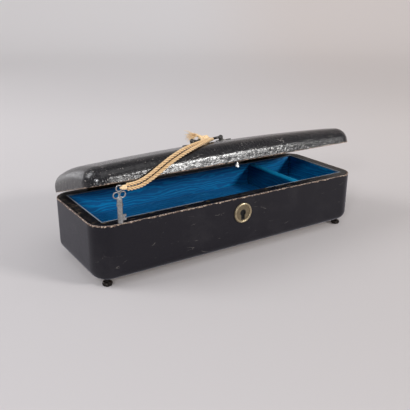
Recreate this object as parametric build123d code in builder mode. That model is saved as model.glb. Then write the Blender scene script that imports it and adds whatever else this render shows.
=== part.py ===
from build123d import *
import math
import os

os.makedirs("parts", exist_ok=True)

# A leather-covered jewelry box with a crowned lid, silk compartments and a musical movement.
# X runs along the box, -Y is the front with the lock, +Y the rear with the hinges, +Z is up.
# The origin lies under the middle of the case, at the feet's lower ends. All sizes are in mm.

# Case
case_length = 280.0
case_depth = 98.0
case_height = 49.0
foot_height = 10.5
base_recess = 4.5
corner_radius = 16.0
base_edge_radius = 9.0
leather = 1.0
wood_wall = 8.8
facing = 0.6
facing_setback = 1.6
lining = 1.2
lining_drop = 0.8
base_board_thickness = 3.5
base_rabbet = 4.0
board_gap = 0.1

# Compartments
partition_thickness = 10.0
small_compartment = 48.0
partition_drop = 1.5
partition_round = 3.5
raised_floor_depth = 21.0
raised_board = 2.0
floor_pad_edge = 1.6
floor_pad_crown = 0.6
batten_width = 5.0

# Feet and the screws of the base board
foot_end_inset = 12.0
foot_side_inset = 10.0
foot_flange_radius = 4.6
foot_flange_thickness = 3.0
foot_neck_radius = 2.0
foot_neck_height = 1.0
foot_toe_radius = 4.3
foot_toe_height = 2.4
foot_sole_radius = 3.3
foot_flute_radius = 1.3
foot_flutes = 6
foot_spigot_radius = 1.6
foot_spigot_length = 3.0
foot_pocket_gap = 0.3
base_screws_per_side = 4

# Lid
open_angle = 18.5
lid_gap = 0.4
lid_height = 21.7
lid_shoulder = 12.5
lid_crown_along = 2450.0
lid_crown_across = 259.0
lid_recess_depth = 13.0
lid_pad_edge = 3.0
lid_pad_crown = 2.0
hinge_setback = 1.2
hinge_rise = 0.2

# Hinges
leaf_length = 32.0
leaf_width = 8.0
leaf_thickness = 1.0
leaf_end_distance = 50.0
knuckle_radius = 1.5
knuckle_count = 5
knuckle_gap = 0.15
hinge_pin_radius = 0.8
running_gap = 0.05
recess_gap = 0.1

# Wood screws
screw_head_radius = 1.7
screw_head_depth = 0.8
screw_radius = 0.7
leaf_screw_length = 6.0
leaf_screw_spacing = 11.0
base_screw_length = 8.0
slot_width = 0.4
slot_depth = 0.3

# Lock
keyhole_drop = 14.5
lock_width = 60.0
lock_height = 27.0
lock_thickness = 4.0
lock_plate = 0.8
selvage_length = 69.0
selvage_width = 5.2
selvage_thickness = 1.2
escutcheon_radius = 9.35
escutcheon_height = 1.6
escutcheon_bead_width = 2.2
escutcheon_field_height = 0.6
selvage_screw_inset = 2.4
selvage_screw_offset = 0.6
keyhole_radius = 2.4
keyhole_waist = 2.0
keyhole_flare = 4.2
keyhole_slot_drop = 5.4
bolt_travel = 3.5
bolt_length = 20.5
bolt_depth = 7.0
bolt_nose = 1.6
bolt_nose_rise = 1.4
bolt_tail = 6.0
bolt_talon_width = 4.0
bolt_talon_depth = 2.4
bolt_guide_width = 2.0
staple_x = 1.2
staple_drop = 5.0
staple_eye_depth = 3.2
staple_eye_thickness = 1.6
staple_rim = 0.5
staple_clearance = 0.4
staple_plate_length = 16.0
staple_plate_thickness = 1.0
staple_screw_spacing = 11.0

# Handle
post_spacing = 32.0
post_radius = 2.2
post_spigot_radius = 1.1
post_spigot_length = 3.5
post_foot_flare = 0.8
post_waist = 0.3
handle_rise = 3.6
bail_wire = 1.2
bail_reach = 10.0
bail_corner = 2.6
bail_end_bend = 1.6
bail_end_length = 1.3
handle_plate_length = 17.0
handle_plate_width = 8.0
handle_plate_thickness = 0.9
handle_plate_offset = 2.5

# Cord and key
strand_radius = 1.5
knot_radius = 3.4
knot_length = 13.0
knot_end_radius = 2.5
knot_centre_x = 3.5
tail_radius = 1.35
key_to_cord = 6.9
bow_ring_radius = 2.4
bow_wire = 0.5
bow_drop = 5.2
bow_shoulder = 1.6
key_shank_radius = 2.1
key_collar_drop = 13.2
key_collar_ring = 0.7
key_collar_groove = 0.4
key_length_below_pivot = 28.2
key_bit_length = 2.7
key_bit_height = 4.8
key_bit_rise = 2.0
key_bit_thickness = 1.0
key_ward_length = 1.1
key_ward_height = 1.0
key_tie_radius = 1.9
key_tie_length = 5.7
key_tie_core_radius = 0.6

# Movement
barrel_from_middle = 62.0
bedplate_before_barrel = 15.0
bedplate_length = 80.0
bedplate_width = 50.0
bedplate_thickness = 1.4
bedplate_corner = 4.0
bedplate_screw_inset = 3.0
barrel_radius = 10.0
barrel_flange_radius = 13.5
barrel_teeth = 30
contrate_inner_radius = 11.5
contrate_depth = 1.1
arbor_radius = 1.5
cylinder_radius = 5.6
cylinder_length = 32.0
cylinder_pin_radius = 0.2
cylinder_pin_height = 0.6
train_arbor_radius = 0.8
pinion_teeth = 10
train_wheel_teeth = 32
train_pinion_teeth = 8
gear_module = 0.35
tooth_root = 0.38
tooth_tip = 0.25
train_gap = 0.1
train_wheel_width = 1.2
train_root_share = 0.44
train_tip_share = 0.22
pinion_width = 2.0
pinion_root_share = 0.34
pinion_tip_share = 0.18
pinion_root = 0.88
pinion_tip = 0.35
contrate_tooth_share = 0.64
flange_thickness = 0.9
flange_to_board = 2.8
barrel_wall = 0.8
barrel_hub_wall = 0.6
lug_thickness = 1.5
lug_rise = 2.7
lug_reach = 4.0
lug_end_reach = 3.0
axial_gap = 0.5
wheel_to_lug = 2.3
fan_width = 1.7
fan_reach = 5.0
fan_blade_thickness = 0.4
fan_hub_wall = 0.5
brake_width = 1.0
brake_radius = 2.0
comb_teeth = 18
comb_pitch = 1.7
comb_thickness = 0.8
comb_tooth_length = 6.5
comb_heel_width = 8.0
comb_heel_seat = 0.5
comb_tooth_share = 0.7
comb_screw_inset = 3.5
comb_screw_share = 0.36
bridge_to_board = 1.6
bridge_thickness = 1.0
bridge_width = 7.0
pillar_from_flange = 4.5
pillar_radius = 2.0
movement_screw_length = 4.0
spring_thickness = 0.3
spring_turns = 6
spring_step_angle = 30
arbor_low_z = 4.0
winding_hub_radius = 2.8
winding_gap = 0.9
wing_low_z = 1.8
wing_reach = 8.5
wing_height = 6.0
wing_thickness = 1.6
wing_hole_radius = 1.45
wing_hole_share = 0.62
wing_end_radius = 2.7
click_from_barrel_x = 8.0
click_from_barrel_y = 8.6
click_pin_radius = 0.8
click_pin_height = 2.4
click_pin_head = 0.8
click_eye_radius = 1.8
click_tip_gap = 0.35
click_tip_width = 0.95
click_arm_width = 1.6
ratchet_teeth = 12
ratchet_radius = 5.5
ratchet_root = 4.4
click_thickness = 0.7
stop_travel = 3.0
stop_pin_radius = 1.0
stop_plate_thickness = 0.8
stop_pin_inset = 4.4
stop_plate_width = 6.0
stop_knob_radius = 1.8
stop_knob_height = 1.6
stop_knob_drop = 4.0
stop_finger_thickness = 1.0

# Places worked out from the sizes above
half_length = case_length / 2
half_depth = case_depth / 2
case_low_z = foot_height - base_recess
rim_z = case_low_z + case_height
wall = leather + wood_wall
inner_x = half_length - wall
inner_y = half_depth - wall
lined_x = inner_x - lining
lined_y = inner_y - lining
base_top_z = foot_height + base_board_thickness
lining_top_z = rim_z - lining_drop
partition_right_x = lined_x - small_compartment
partition_left_x = partition_right_x - partition_thickness
partition_centre_x = partition_right_x - partition_thickness / 2
leaf_centre_x = half_length - leaf_end_distance
raised_board_z = rim_z - raised_floor_depth - floor_pad_edge - floor_pad_crown - raised_board
hinge_y = half_depth + hinge_setback
hinge_z = rim_z + hinge_rise
hinge_axis = Axis((0, hinge_y, hinge_z), (1, 0, 0))

# The lid is drawn in its own frame: the origin under its middle, XY its lower face, tipped open.
tip = math.radians(open_angle)
lid_lift = lid_gap - hinge_rise
lid_plane = Plane(
    origin=(
        0,
        hinge_y - hinge_y * math.cos(tip) + lid_lift * math.sin(tip),
        hinge_z + hinge_y * math.sin(tip) + lid_lift * math.cos(tip),
    ),
    x_dir=(1, 0, 0),
    z_dir=(0, math.sin(tip), math.cos(tip)),
)


def lid_level(height, x=0.0, y=0.0):
    """A plane parallel to the lid's lower face, in the lid's own frame."""
    return Plane(
        origin=lid_plane.from_local_coords((x, y, height)),
        x_dir=lid_plane.x_dir,
        z_dir=lid_plane.z_dir,
    )


def lid_upright(x=0.0, y=0.0, height=0.0):
    """A plane across the lid whose normal points to the lid's right end."""
    return Plane(
        origin=lid_plane.from_local_coords((x, y, height)),
        x_dir=lid_plane.y_dir,
        z_dir=lid_plane.x_dir,
    )


def lid_front(y=0.0, x=0.0, height=0.0):
    """A plane along the lid whose normal points to the lid's front."""
    return Plane(
        origin=lid_plane.from_local_coords((x, y, height)),
        x_dir=lid_plane.x_dir,
        z_dir=-lid_plane.y_dir,
    )


def save(builder, name):
    """Name the finished piece and write it."""
    builder.part.label = name
    export_step(builder.part, f"parts/{name}.step")


def rounded_case(inset, low_z, high_z, edge_radius):
    """The case's outer form, drawn in by inset, with its lower edge rounded."""
    with BuildPart() as form:
        with BuildSketch(Plane.XY.offset(low_z)):
            RectangleRounded(case_length - 2 * inset, case_depth - 2 * inset, corner_radius - inset)
        extrude(amount=high_z - low_z)
        fillet(form.faces().sort_by(Axis.Z)[0].edges(), edge_radius)
    return form.part


def crowned_lid(inset):
    """The lid's outer form, drawn in by inset: a block under a crown, with a round shoulder."""
    apex = lid_height - inset
    across = lid_crown_across - inset
    along = lid_crown_along - inset
    reach = half_length + leather
    end_drop = along - math.sqrt(along**2 - reach**2)
    with BuildPart() as form:
        with BuildSketch(lid_level(0)):
            RectangleRounded(case_length - 2 * inset, case_depth - 2 * inset, corner_radius - inset)
        extrude(amount=lid_height)
        with BuildSketch(lid_front()):
            with BuildLine():
                ThreePointArc((-reach, apex - end_drop), (0, apex), (reach, apex - end_drop))
                Polyline(
                    (reach, apex - end_drop),
                    (reach, apex - across),
                    (-reach, apex - across),
                    (-reach, apex - end_drop),
                )
            make_face()
        crown_centre = lid_plane.from_local_coords((0, 0, apex - across))
        revolve(axis=Axis(crown_centre, lid_plane.x_dir), mode=Mode.INTERSECT)
        top_face = form.faces().sort_by(Axis(lid_plane.origin, lid_plane.z_dir))[-1]
        fillet(top_face.edges(), lid_shoulder - inset)
    return form.part


def leaf_screw_spots(centre_x):
    """The three screw places of one hinge leaf, as distances along the hinge."""
    return [centre_x + step * leaf_screw_spacing for step in (-1, 0, 1)]


def toothed_outline(teeth, root_radius, tip_radius, root_share, tip_share, start_angle):
    """The corners of a wheel with straight-sided teeth, the first one at the start angle."""
    pitch_angle = 2 * math.pi / teeth
    corners = []
    for tooth in range(teeth):
        middle = math.radians(start_angle) + tooth * pitch_angle
        for radius, share in (
            (root_radius, -root_share),
            (tip_radius, -tip_share),
            (tip_radius, tip_share),
            (root_radius, root_share),
        ):
            turn = middle + share * pitch_angle / 2
            corners.append((radius * math.cos(turn), radius * math.sin(turn)))
    return corners


def spur_wheel(place, teeth, width, start_angle):
    """A spur wheel or pinion of the train, with thin teeth that run with play."""
    pitch_radius = teeth * gear_module / 2
    with BuildPart() as wheel:
        with BuildSketch(place):
            with BuildLine():
                Polyline(
                    *toothed_outline(
                        teeth,
                        pitch_radius - tooth_root,
                        pitch_radius + tooth_tip,
                        train_root_share,
                        train_tip_share,
                        start_angle,
                    ),
                    close=True,
                )
            make_face()
        extrude(amount=width)
    return wheel.part


leaf_screw_xs = [x for side in (-1, 1) for x in leaf_screw_spots(side * leaf_centre_x)]
leaf_screw_y = hinge_y - leaf_width / 2 - knuckle_radius / 2
leaf_cut_length = leaf_length + 2 * recess_gap
lock_front_y = -(inner_y + lock_thickness)
selvage_y = -(lined_y + selvage_width / 2)
selvage_screw_xs = [side * (selvage_length / 2 - selvage_screw_inset) for side in (-1, 1)]
selvage_screw_y = selvage_y - selvage_screw_offset
keyhole_z = rim_z - keyhole_drop
barrel_x = -barrel_from_middle
bedplate_low_x = barrel_x - bedplate_before_barrel
bedplate_high_x = bedplate_low_x + bedplate_length
bedplate_top_z = base_top_z + bedplate_thickness
bedplate_screw_spots = [
    (x, sy * (bedplate_width / 2 - bedplate_screw_inset))
    for x in (bedplate_low_x + bedplate_screw_inset, bedplate_high_x - bedplate_screw_inset)
    for sy in (-1, 1)
]
train_distance = (train_wheel_teeth + train_pinion_teeth) * gear_module / 2 + train_gap
fan_y = 2 * train_distance
stop_x = bedplate_high_x - stop_plate_width - stop_pin_radius
stop_y = bedplate_width / 2 - stop_pin_inset - train_gap
foot_spots = [
    (sx * (half_length - foot_end_inset), sy * (half_depth - foot_side_inset)) for sx in (-1, 1) for sy in (-1, 1)
]
base_screw_pitch = 2 * inner_x / base_screws_per_side
base_screw_spots = [
    ((number - (base_screws_per_side - 1) / 2) * base_screw_pitch, sy * (inner_y + base_rabbet / 2 - board_gap))
    for number in range(base_screws_per_side)
    for sy in (-1, 1)
]


# Keyhole: a round top and a slot that flares towards its lower end
with BuildSketch() as keyhole:
    Circle(keyhole_radius)
    with BuildLine():
        Polyline(
            (-keyhole_waist / 2, 0),
            (keyhole_waist / 2, 0),
            (keyhole_flare / 2, -keyhole_slot_drop),
            (-keyhole_flare / 2, -keyhole_slot_drop),
            close=True,
        )
    make_face()

# Wooden carcass: four walls with square inner corners, rabbeted below for the recessed base board
carcass_form = rounded_case(leather, case_low_z + leather, rim_z - facing, base_edge_radius - leather)
with BuildPart() as case_carcass:
    add(carcass_form)
    with BuildSketch(Plane.XY.offset(foot_height)):
        Rectangle(2 * inner_x, 2 * inner_y)
    extrude(amount=case_height, mode=Mode.SUBTRACT)
    with BuildSketch(Plane.XY.offset(case_low_z)):
        RectangleRounded(2 * (inner_x + base_rabbet), 2 * (inner_y + base_rabbet), corner_radius - wall)
    extrude(amount=base_recess + base_board_thickness, mode=Mode.SUBTRACT)
    with BuildSketch(Plane.XY.offset(case_low_z)):
        with Locations(*foot_spots):
            Circle(foot_flange_radius + foot_pocket_gap)
    extrude(amount=base_recess, mode=Mode.SUBTRACT)
    # seats of the rear leaves and their knuckles
    with BuildSketch(Plane.XY.offset(rim_z - leaf_thickness)):
        with Locations(*[(sx * leaf_centre_x, hinge_y - leaf_width / 2) for sx in (-1, 1)]):
            Rectangle(leaf_cut_length, leaf_width + 2 * recess_gap)
    extrude(amount=leaf_thickness, mode=Mode.SUBTRACT)
    with BuildSketch(Plane.XY.offset(hinge_z - knuckle_radius - 2 * recess_gap)):
        with Locations(*[(sx * leaf_centre_x, hinge_y) for sx in (-1, 1)]):
            Rectangle(leaf_cut_length, 2 * (knuckle_radius + 2 * recess_gap))
    extrude(amount=2 * knuckle_radius, mode=Mode.SUBTRACT)
    with Locations(*[(x, leaf_screw_y, rim_z - leaf_thickness) for x in leaf_screw_xs]):
        Hole(screw_radius, depth=leaf_screw_length + recess_gap)
    # mortise of the lock, open to the inside and to the rim, and the selvage's seat
    with BuildSketch(Plane.XY.offset(rim_z - lock_height - recess_gap)):
        with Locations((0, -(inner_y + (lock_thickness + recess_gap) / 2))):
            Rectangle(lock_width + 2 * recess_gap, lock_thickness + recess_gap)
    extrude(amount=lock_height, mode=Mode.SUBTRACT)
    with BuildSketch(Plane.XY.offset(rim_z - selvage_thickness)):
        with Locations((0, selvage_y)):
            Rectangle(selvage_length + 2 * recess_gap, selvage_width + 2 * recess_gap)
    extrude(amount=selvage_thickness, mode=Mode.SUBTRACT)
    with BuildSketch(Plane.XZ.offset(-lock_front_y - recess_gap)):
        with Locations((0, keyhole_z)):
            add(keyhole.sketch)
    extrude(amount=wood_wall, mode=Mode.SUBTRACT)
    # bores for the selvage screws and the base screws
    with Locations(*[(x, selvage_screw_y, rim_z) for x in selvage_screw_xs]):
        Hole(screw_radius + running_gap, depth=leaf_screw_length + recess_gap)
    with Locations(*[(x, y, base_top_z) for x, y in base_screw_spots]):
        Cylinder(
            screw_radius + running_gap,
            leaf_screw_length,
            align=(Align.CENTER, Align.CENTER, Align.MIN),
            mode=Mode.SUBTRACT,
        )
save(case_carcass, "case_carcass")

# Leather skin of the case, turned in under the lower edge
leather_form = rounded_case(0, case_low_z, rim_z, base_edge_radius)
carcass_hollow = rounded_case(leather, case_low_z + leather, rim_z + leather, base_edge_radius - leather)
with BuildPart() as case_leather:
    add(leather_form)
    add(carcass_hollow, mode=Mode.SUBTRACT)
    with BuildSketch(Plane.XY.offset(case_low_z)):
        RectangleRounded(2 * (inner_x + base_rabbet), 2 * (inner_y + base_rabbet), corner_radius - wall)
    extrude(amount=base_recess + base_board_thickness, mode=Mode.SUBTRACT)
    with BuildSketch(Plane.XY.offset(case_low_z)):
        with Locations(*foot_spots):
            Circle(foot_flange_radius + foot_pocket_gap)
    extrude(amount=base_recess, mode=Mode.SUBTRACT)
    with BuildSketch(Plane.XY.offset(rim_z - leaf_thickness)):
        with Locations(*[(sx * leaf_centre_x, hinge_y - leaf_width / 2) for sx in (-1, 1)]):
            Rectangle(leaf_cut_length, leaf_width + 2 * recess_gap)
    extrude(amount=leaf_thickness, mode=Mode.SUBTRACT)
    with BuildSketch(Plane.XY.offset(hinge_z - knuckle_radius - 2 * recess_gap)):
        with Locations(*[(sx * leaf_centre_x, hinge_y) for sx in (-1, 1)]):
            Rectangle(leaf_cut_length, 2 * (knuckle_radius + 2 * recess_gap))
    extrude(amount=2 * knuckle_radius, mode=Mode.SUBTRACT)
    with BuildSketch(Plane.XZ.offset(half_depth - 2 * leather)):
        with Locations((0, keyhole_z)):
            add(keyhole.sketch)
    extrude(amount=3 * leather, mode=Mode.SUBTRACT)
save(case_leather, "case_leather")

# Black facing on the rim, inside the leather's worn edge
with BuildPart() as rim_facing:
    with BuildSketch(Plane.XY.offset(rim_z - facing)):
        RectangleRounded(
            case_length - 2 * facing_setback,
            case_depth - 2 * facing_setback,
            corner_radius - facing_setback,
        )
        Rectangle(2 * inner_x, 2 * inner_y, mode=Mode.SUBTRACT)
        with Locations(*[(sx * leaf_centre_x, hinge_y - leaf_width / 2) for sx in (-1, 1)]):
            Rectangle(leaf_cut_length, leaf_width + 2 * recess_gap, mode=Mode.SUBTRACT)
        with Locations((0, selvage_y)):
            Rectangle(
                selvage_length + 2 * recess_gap, selvage_width + 2 * recess_gap, mode=Mode.SUBTRACT
            )
    extrude(amount=facing)
save(rim_facing, "rim_facing")

# Base board in its rabbet, bored for the feet, the screws and the winding arbor
arbor_bore = arbor_radius + 1.0
with BuildPart() as base_board:
    with BuildSketch(Plane.XY.offset(foot_height)):
        RectangleRounded(
            2 * (inner_x + base_rabbet - board_gap),
            2 * (inner_y + base_rabbet - board_gap),
            corner_radius - wall - board_gap,
        )
    extrude(amount=base_board_thickness)
    with Locations(*[(x, y, foot_height) for x, y in foot_spots]):
        Hole(foot_spigot_radius + running_gap)
    with Locations((barrel_x, 0, foot_height)):
        Hole(arbor_bore)
    with BuildSketch(Plane.XY.offset(foot_height)):
        with Locations((stop_x, stop_y - stop_travel / 2)):
            SlotOverall(stop_travel + 3 * stop_pin_radius, 3 * stop_pin_radius, rotation=90)
    extrude(amount=base_board_thickness, mode=Mode.SUBTRACT)
    with Locations(*[(x, y, base_top_z) for x, y in bedplate_screw_spots]):
        Hole(screw_radius + running_gap, depth=base_board_thickness - leather * 0.3)
    with Locations(*[Location((x, y, foot_height), (180, 0, 0)) for x, y in base_screw_spots]):
        CounterSinkHole(screw_radius + running_gap, screw_head_radius + running_gap)
save(base_board, "base_board")


def wood_screws(points, direction, length):
    """Countersunk slotted screws driven along a direction, as one group of separate solids."""
    way = Vector(*direction)
    with BuildPart() as group:
        for point in points:
            with BuildSketch(Plane(point, x_dir=(1, 0, 0), z_dir=Vector(1, 0, 0).cross(way))):
                with BuildLine():
                    Polyline(
                        (0, 0),
                        (screw_head_radius - recess_gap, 0),
                        (screw_radius, screw_head_depth),
                        (screw_radius, length - 2 * screw_radius),
                        (0, length),
                        close=True,
                    )
                make_face()
            revolve(axis=Axis(point, way))
            with BuildSketch(Plane(point, x_dir=(1, 0, 0), z_dir=way)):
                Rectangle(3 * screw_head_radius, slot_width)
            extrude(amount=slot_depth, mode=Mode.SUBTRACT)
    return group


base_screws = wood_screws(
    [Vector(x, y, foot_height) for x, y in base_screw_spots], (0, 0, 1), base_screw_length
)
save(base_screws, "base_screws")

# Feet: a flange, a short neck and a splayed foot parted into toes, with a spigot that goes up into the base
neck_top_z = foot_height - foot_flange_thickness - foot_flange_radius + foot_neck_radius
neck_low_z = neck_top_z - foot_neck_height
for (foot_x, foot_y), foot_name in zip(
    foot_spots, ("foot_front_left", "foot_rear_left", "foot_front_right", "foot_rear_right")
):
    with BuildPart() as foot:
        with BuildSketch(Plane((foot_x, foot_y, 0), x_dir=(1, 0, 0), z_dir=(0, -1, 0))):
            with BuildLine():
                Polyline(
                    (foot_neck_radius, neck_low_z),
                    (foot_neck_radius, neck_top_z),
                    (foot_flange_radius, foot_height - foot_flange_thickness),
                    (foot_flange_radius, foot_height),
                    (foot_spigot_radius, foot_height),
                    (foot_spigot_radius, foot_height + foot_spigot_length),
                    (0, foot_height + foot_spigot_length),
                    (0, 0),
                    (foot_sole_radius, 0),
                )
                ThreePointArc(
                    (foot_sole_radius, 0), (foot_toe_radius, foot_toe_height), (foot_neck_radius, neck_low_z)
                )
            make_face()
        revolve(axis=Axis((foot_x, foot_y, 0), (0, 0, 1)))
        # flutes between the toes
        with BuildSketch(Plane.XY):
            with Locations((foot_x, foot_y)):
                with PolarLocations(foot_toe_radius, foot_flutes, start_angle=180 / foot_flutes):
                    Circle(foot_flute_radius)
        extrude(amount=neck_low_z, mode=Mode.SUBTRACT)
    save(foot, foot_name)

# Silk-covered lining panels on the four walls
panel_low_z = base_top_z + board_gap
staple_way_width = staple_eye_thickness + 2 * staple_clearance
staple_way_depth = staple_drop + 2 * staple_clearance
with BuildPart() as lining_front:
    with BuildSketch(Plane.XY.offset(panel_low_z)):
        with Locations((0, -(inner_y - lining / 2))):
            Rectangle(2 * inner_x, lining)
    extrude(amount=lining_top_z - panel_low_z)
    with BuildSketch(Plane.XY.offset(rim_z - selvage_thickness - recess_gap)):
        with Locations((0, selvage_y)):
            Rectangle(selvage_length + 2 * recess_gap, selvage_width + 2 * recess_gap)
    extrude(amount=selvage_thickness, mode=Mode.SUBTRACT)
    # way of the staple
    with BuildSketch(Plane.XY.offset(rim_z - staple_way_depth)):
        with Locations((staple_x, -(inner_y - lining / 2))):
            Rectangle(staple_way_width, 2 * lining)
    extrude(amount=staple_way_depth, mode=Mode.SUBTRACT)
save(lining_front, "lining_front")

with BuildPart() as lining_rear:
    with BuildSketch(Plane.XY.offset(panel_low_z)):
        with Locations((0, inner_y - lining / 2)):
            Rectangle(2 * inner_x, lining)
    extrude(amount=lining_top_z - panel_low_z)
save(lining_rear, "lining_rear")

with BuildPart() as lining_ends:
    with BuildSketch(Plane.XY.offset(panel_low_z)):
        with Locations(*[(side * (inner_x - lining / 2), 0) for side in (-1, 1)]):
            Rectangle(lining, 2 * lined_y)
    extrude(amount=lining_top_z - panel_low_z)
save(lining_ends, "lining_ends")

# Pale piping along the top edge of the linings, interrupted at the lock
with BuildPart() as lining_piping:
    with BuildSketch(Plane.XY.offset(lining_top_z)):
        Rectangle(2 * inner_x, 2 * inner_y)
        Rectangle(2 * lined_x, 2 * lined_y, mode=Mode.SUBTRACT)
        with Locations((0, -(inner_y - lining / 2))):
            Rectangle(selvage_length + 2 * recess_gap, 2 * lining, mode=Mode.SUBTRACT)
    extrude(amount=lining_drop)
save(lining_piping, "lining_piping")

# Partition between the long compartment and the small deep one, with a rounded top
with BuildPart() as partition:
    with BuildSketch(Plane.XY.offset(panel_low_z)):
        with Locations((partition_centre_x, 0)):
            Rectangle(partition_thickness, 2 * (lined_y - board_gap))
    extrude(amount=rim_z - partition_drop - panel_low_z)
    top_edges = partition.faces().sort_by(Axis.Z)[-1].edges().filter_by(Axis.Y)
    fillet(top_edges, partition_round)
save(partition, "partition")

# Raised floor of the long compartment on two battens, over the movement
floor_low_x = -lined_x + board_gap
floor_high_x = partition_left_x - board_gap
floor_centre_x = (floor_low_x + floor_high_x) / 2
with BuildPart() as raised_floor:
    with BuildSketch(Plane.XY.offset(raised_board_z)):
        with Locations((floor_centre_x, 0)):
            Rectangle(floor_high_x - floor_low_x, 2 * (lined_y - board_gap))
    extrude(amount=raised_board)
save(raised_floor, "raised_floor")

with BuildPart() as floor_battens:
    with BuildSketch(Plane.XY.offset(panel_low_z)):
        with Locations(
            (floor_low_x + batten_width / 2, 0),
            (floor_high_x - batten_width / 2, 0),
        ):
            Rectangle(batten_width, 2 * (lined_y - 2 * board_gap))
    extrude(amount=raised_board_z - panel_low_z)
save(floor_battens, "floor_battens")


def floor_cushion(low_x, high_x, low_z, edge, crown):
    """A thin silk pad that fills a compartment's floor: crowned, with soft rounded sides."""
    width = high_x - low_x
    depth = 2 * (lined_y - 3 * board_gap)
    rise = edge + crown
    with BuildPart() as pad:
        with BuildSketch(Plane.XY.offset(low_z)):
            with Locations(((low_x + high_x) / 2, 0)):
                Rectangle(width, depth)
        extrude(amount=rise)
        with BuildSketch(Plane.YZ.offset(low_x)):
            with BuildLine():
                ThreePointArc((-depth / 2, low_z + edge), (0, low_z + rise), (depth / 2, low_z + edge))
                Polyline((depth / 2, low_z + edge), (depth / 2, low_z), (-depth / 2, low_z),
                         (-depth / 2, low_z + edge))
            make_face()
        extrude(amount=width, mode=Mode.INTERSECT)
        fillet(pad.faces().sort_by(Axis.Z)[-1].edges(), edge * 0.6)
    return pad


floor_pad = floor_cushion(
    floor_low_x + board_gap, floor_high_x - board_gap, raised_board_z + raised_board,
    floor_pad_edge, floor_pad_crown,
)
save(floor_pad, "floor_pad")
small_floor_pad = floor_cushion(
    partition_right_x + 3 * board_gap, lined_x - 3 * board_gap, base_top_z, floor_pad_edge, floor_pad_crown
)
save(small_floor_pad, "small_floor_pad")

# Lock: case with its keyhole, cap, selvage plate, bolt
lock_low_z = rim_z - lock_height
lock_top_z = rim_z - selvage_thickness
cavity_front_y = lock_front_y + lock_plate
cavity_rear_y = -(inner_y + lock_plate)
with BuildPart() as lock_case:
    with BuildSketch(Plane.XZ.offset(-lock_front_y)):
        with Locations((0, (lock_low_z + lock_top_z) / 2)):
            Rectangle(lock_width, lock_top_z - lock_low_z)
    extrude(amount=-(lock_thickness - lock_plate - recess_gap))
    with BuildSketch(Plane.XZ.offset(-cavity_front_y)):
        with Locations((0, (lock_low_z + lock_top_z) / 2)):
            Rectangle(lock_width - 2 * lock_plate, lock_top_z - lock_low_z - 2 * lock_plate)
    extrude(amount=-lock_thickness, mode=Mode.SUBTRACT)
    with BuildSketch(Plane.XZ.offset(-lock_front_y)):
        with Locations((0, keyhole_z)):
            add(keyhole.sketch)
    extrude(amount=-lock_plate, mode=Mode.SUBTRACT)
    # way of the staple through the lock's top
    with BuildSketch(Plane.XY.offset(lock_top_z - lock_plate)):
        with Locations((staple_x, selvage_y)):
            Rectangle(staple_way_width, lock_thickness)
    extrude(amount=lock_plate, mode=Mode.SUBTRACT)
save(lock_case, "lock_case")

with BuildPart() as lock_cap:
    with BuildSketch(Plane.XZ.offset(inner_y + recess_gap)):
        with Locations((0, (lock_low_z + lock_top_z) / 2)):
            Rectangle(lock_width, lock_top_z - lock_low_z)
        with Locations((staple_x, lock_top_z)):
            Rectangle(staple_way_width, 2 * (staple_drop + lock_plate), mode=Mode.SUBTRACT)
    extrude(amount=lock_plate - recess_gap)
save(lock_cap, "lock_cap")

with BuildPart() as lock_selvage:
    with BuildSketch(Plane.XY.offset(lock_top_z)):
        with Locations((0, selvage_y)):
            Rectangle(selvage_length, selvage_width)
        with Locations((staple_x, selvage_y)):
            Rectangle(staple_way_width, staple_eye_depth + 2 * staple_clearance, mode=Mode.SUBTRACT)
    extrude(amount=selvage_thickness)
    with Locations(*[(x, selvage_screw_y, rim_z) for x in selvage_screw_xs]):
        CounterSinkHole(screw_radius + running_gap, screw_head_radius + running_gap)
save(lock_selvage, "lock_selvage")

# Bolt: a plate with a nose that slides under the selvage into the staple's eye
closed_lid_z = rim_z + lid_gap
eye_centre_z = closed_lid_z - staple_drop + 2 * staple_clearance + bolt_nose / 2
nose_tip_x = staple_x + staple_eye_thickness / 2 + staple_clearance
nose_root_x = nose_tip_x + bolt_travel + staple_clearance
bolt_top_z = eye_centre_z + bolt_nose / 2
bolt_thickness = cavity_rear_y - cavity_front_y - 4 * recess_gap
with BuildPart() as lock_bolt:
    with BuildSketch(Plane.XZ.offset(-cavity_front_y - 2 * recess_gap)):
        with BuildLine():
            Polyline(
                (nose_tip_x, bolt_top_z),
                (nose_root_x + bolt_length, bolt_top_z),
                (nose_root_x + bolt_length, bolt_top_z - bolt_depth),
                (staple_x - bolt_tail, bolt_top_z - bolt_depth),
                (staple_x - bolt_tail, bolt_top_z - bolt_nose - bolt_nose_rise),
                (nose_root_x, bolt_top_z - bolt_nose - bolt_nose_rise),
                (nose_root_x, bolt_top_z - bolt_nose),
                (nose_tip_x, bolt_top_z - bolt_nose),
                close=True,
            )
        make_face()
        # talon that the key's bit pushes, and the slot of the guide pin
        with Locations((0, bolt_top_z - bolt_depth)):
            Rectangle(bolt_talon_width, bolt_talon_depth, mode=Mode.SUBTRACT)
        with Locations((nose_root_x + (bolt_length - bolt_travel) / 2, bolt_top_z - bolt_depth / 2)):
            SlotOverall(bolt_travel + bolt_guide_width, bolt_guide_width, mode=Mode.SUBTRACT)
    extrude(amount=-bolt_thickness)
save(lock_bolt, "lock_bolt")

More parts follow.
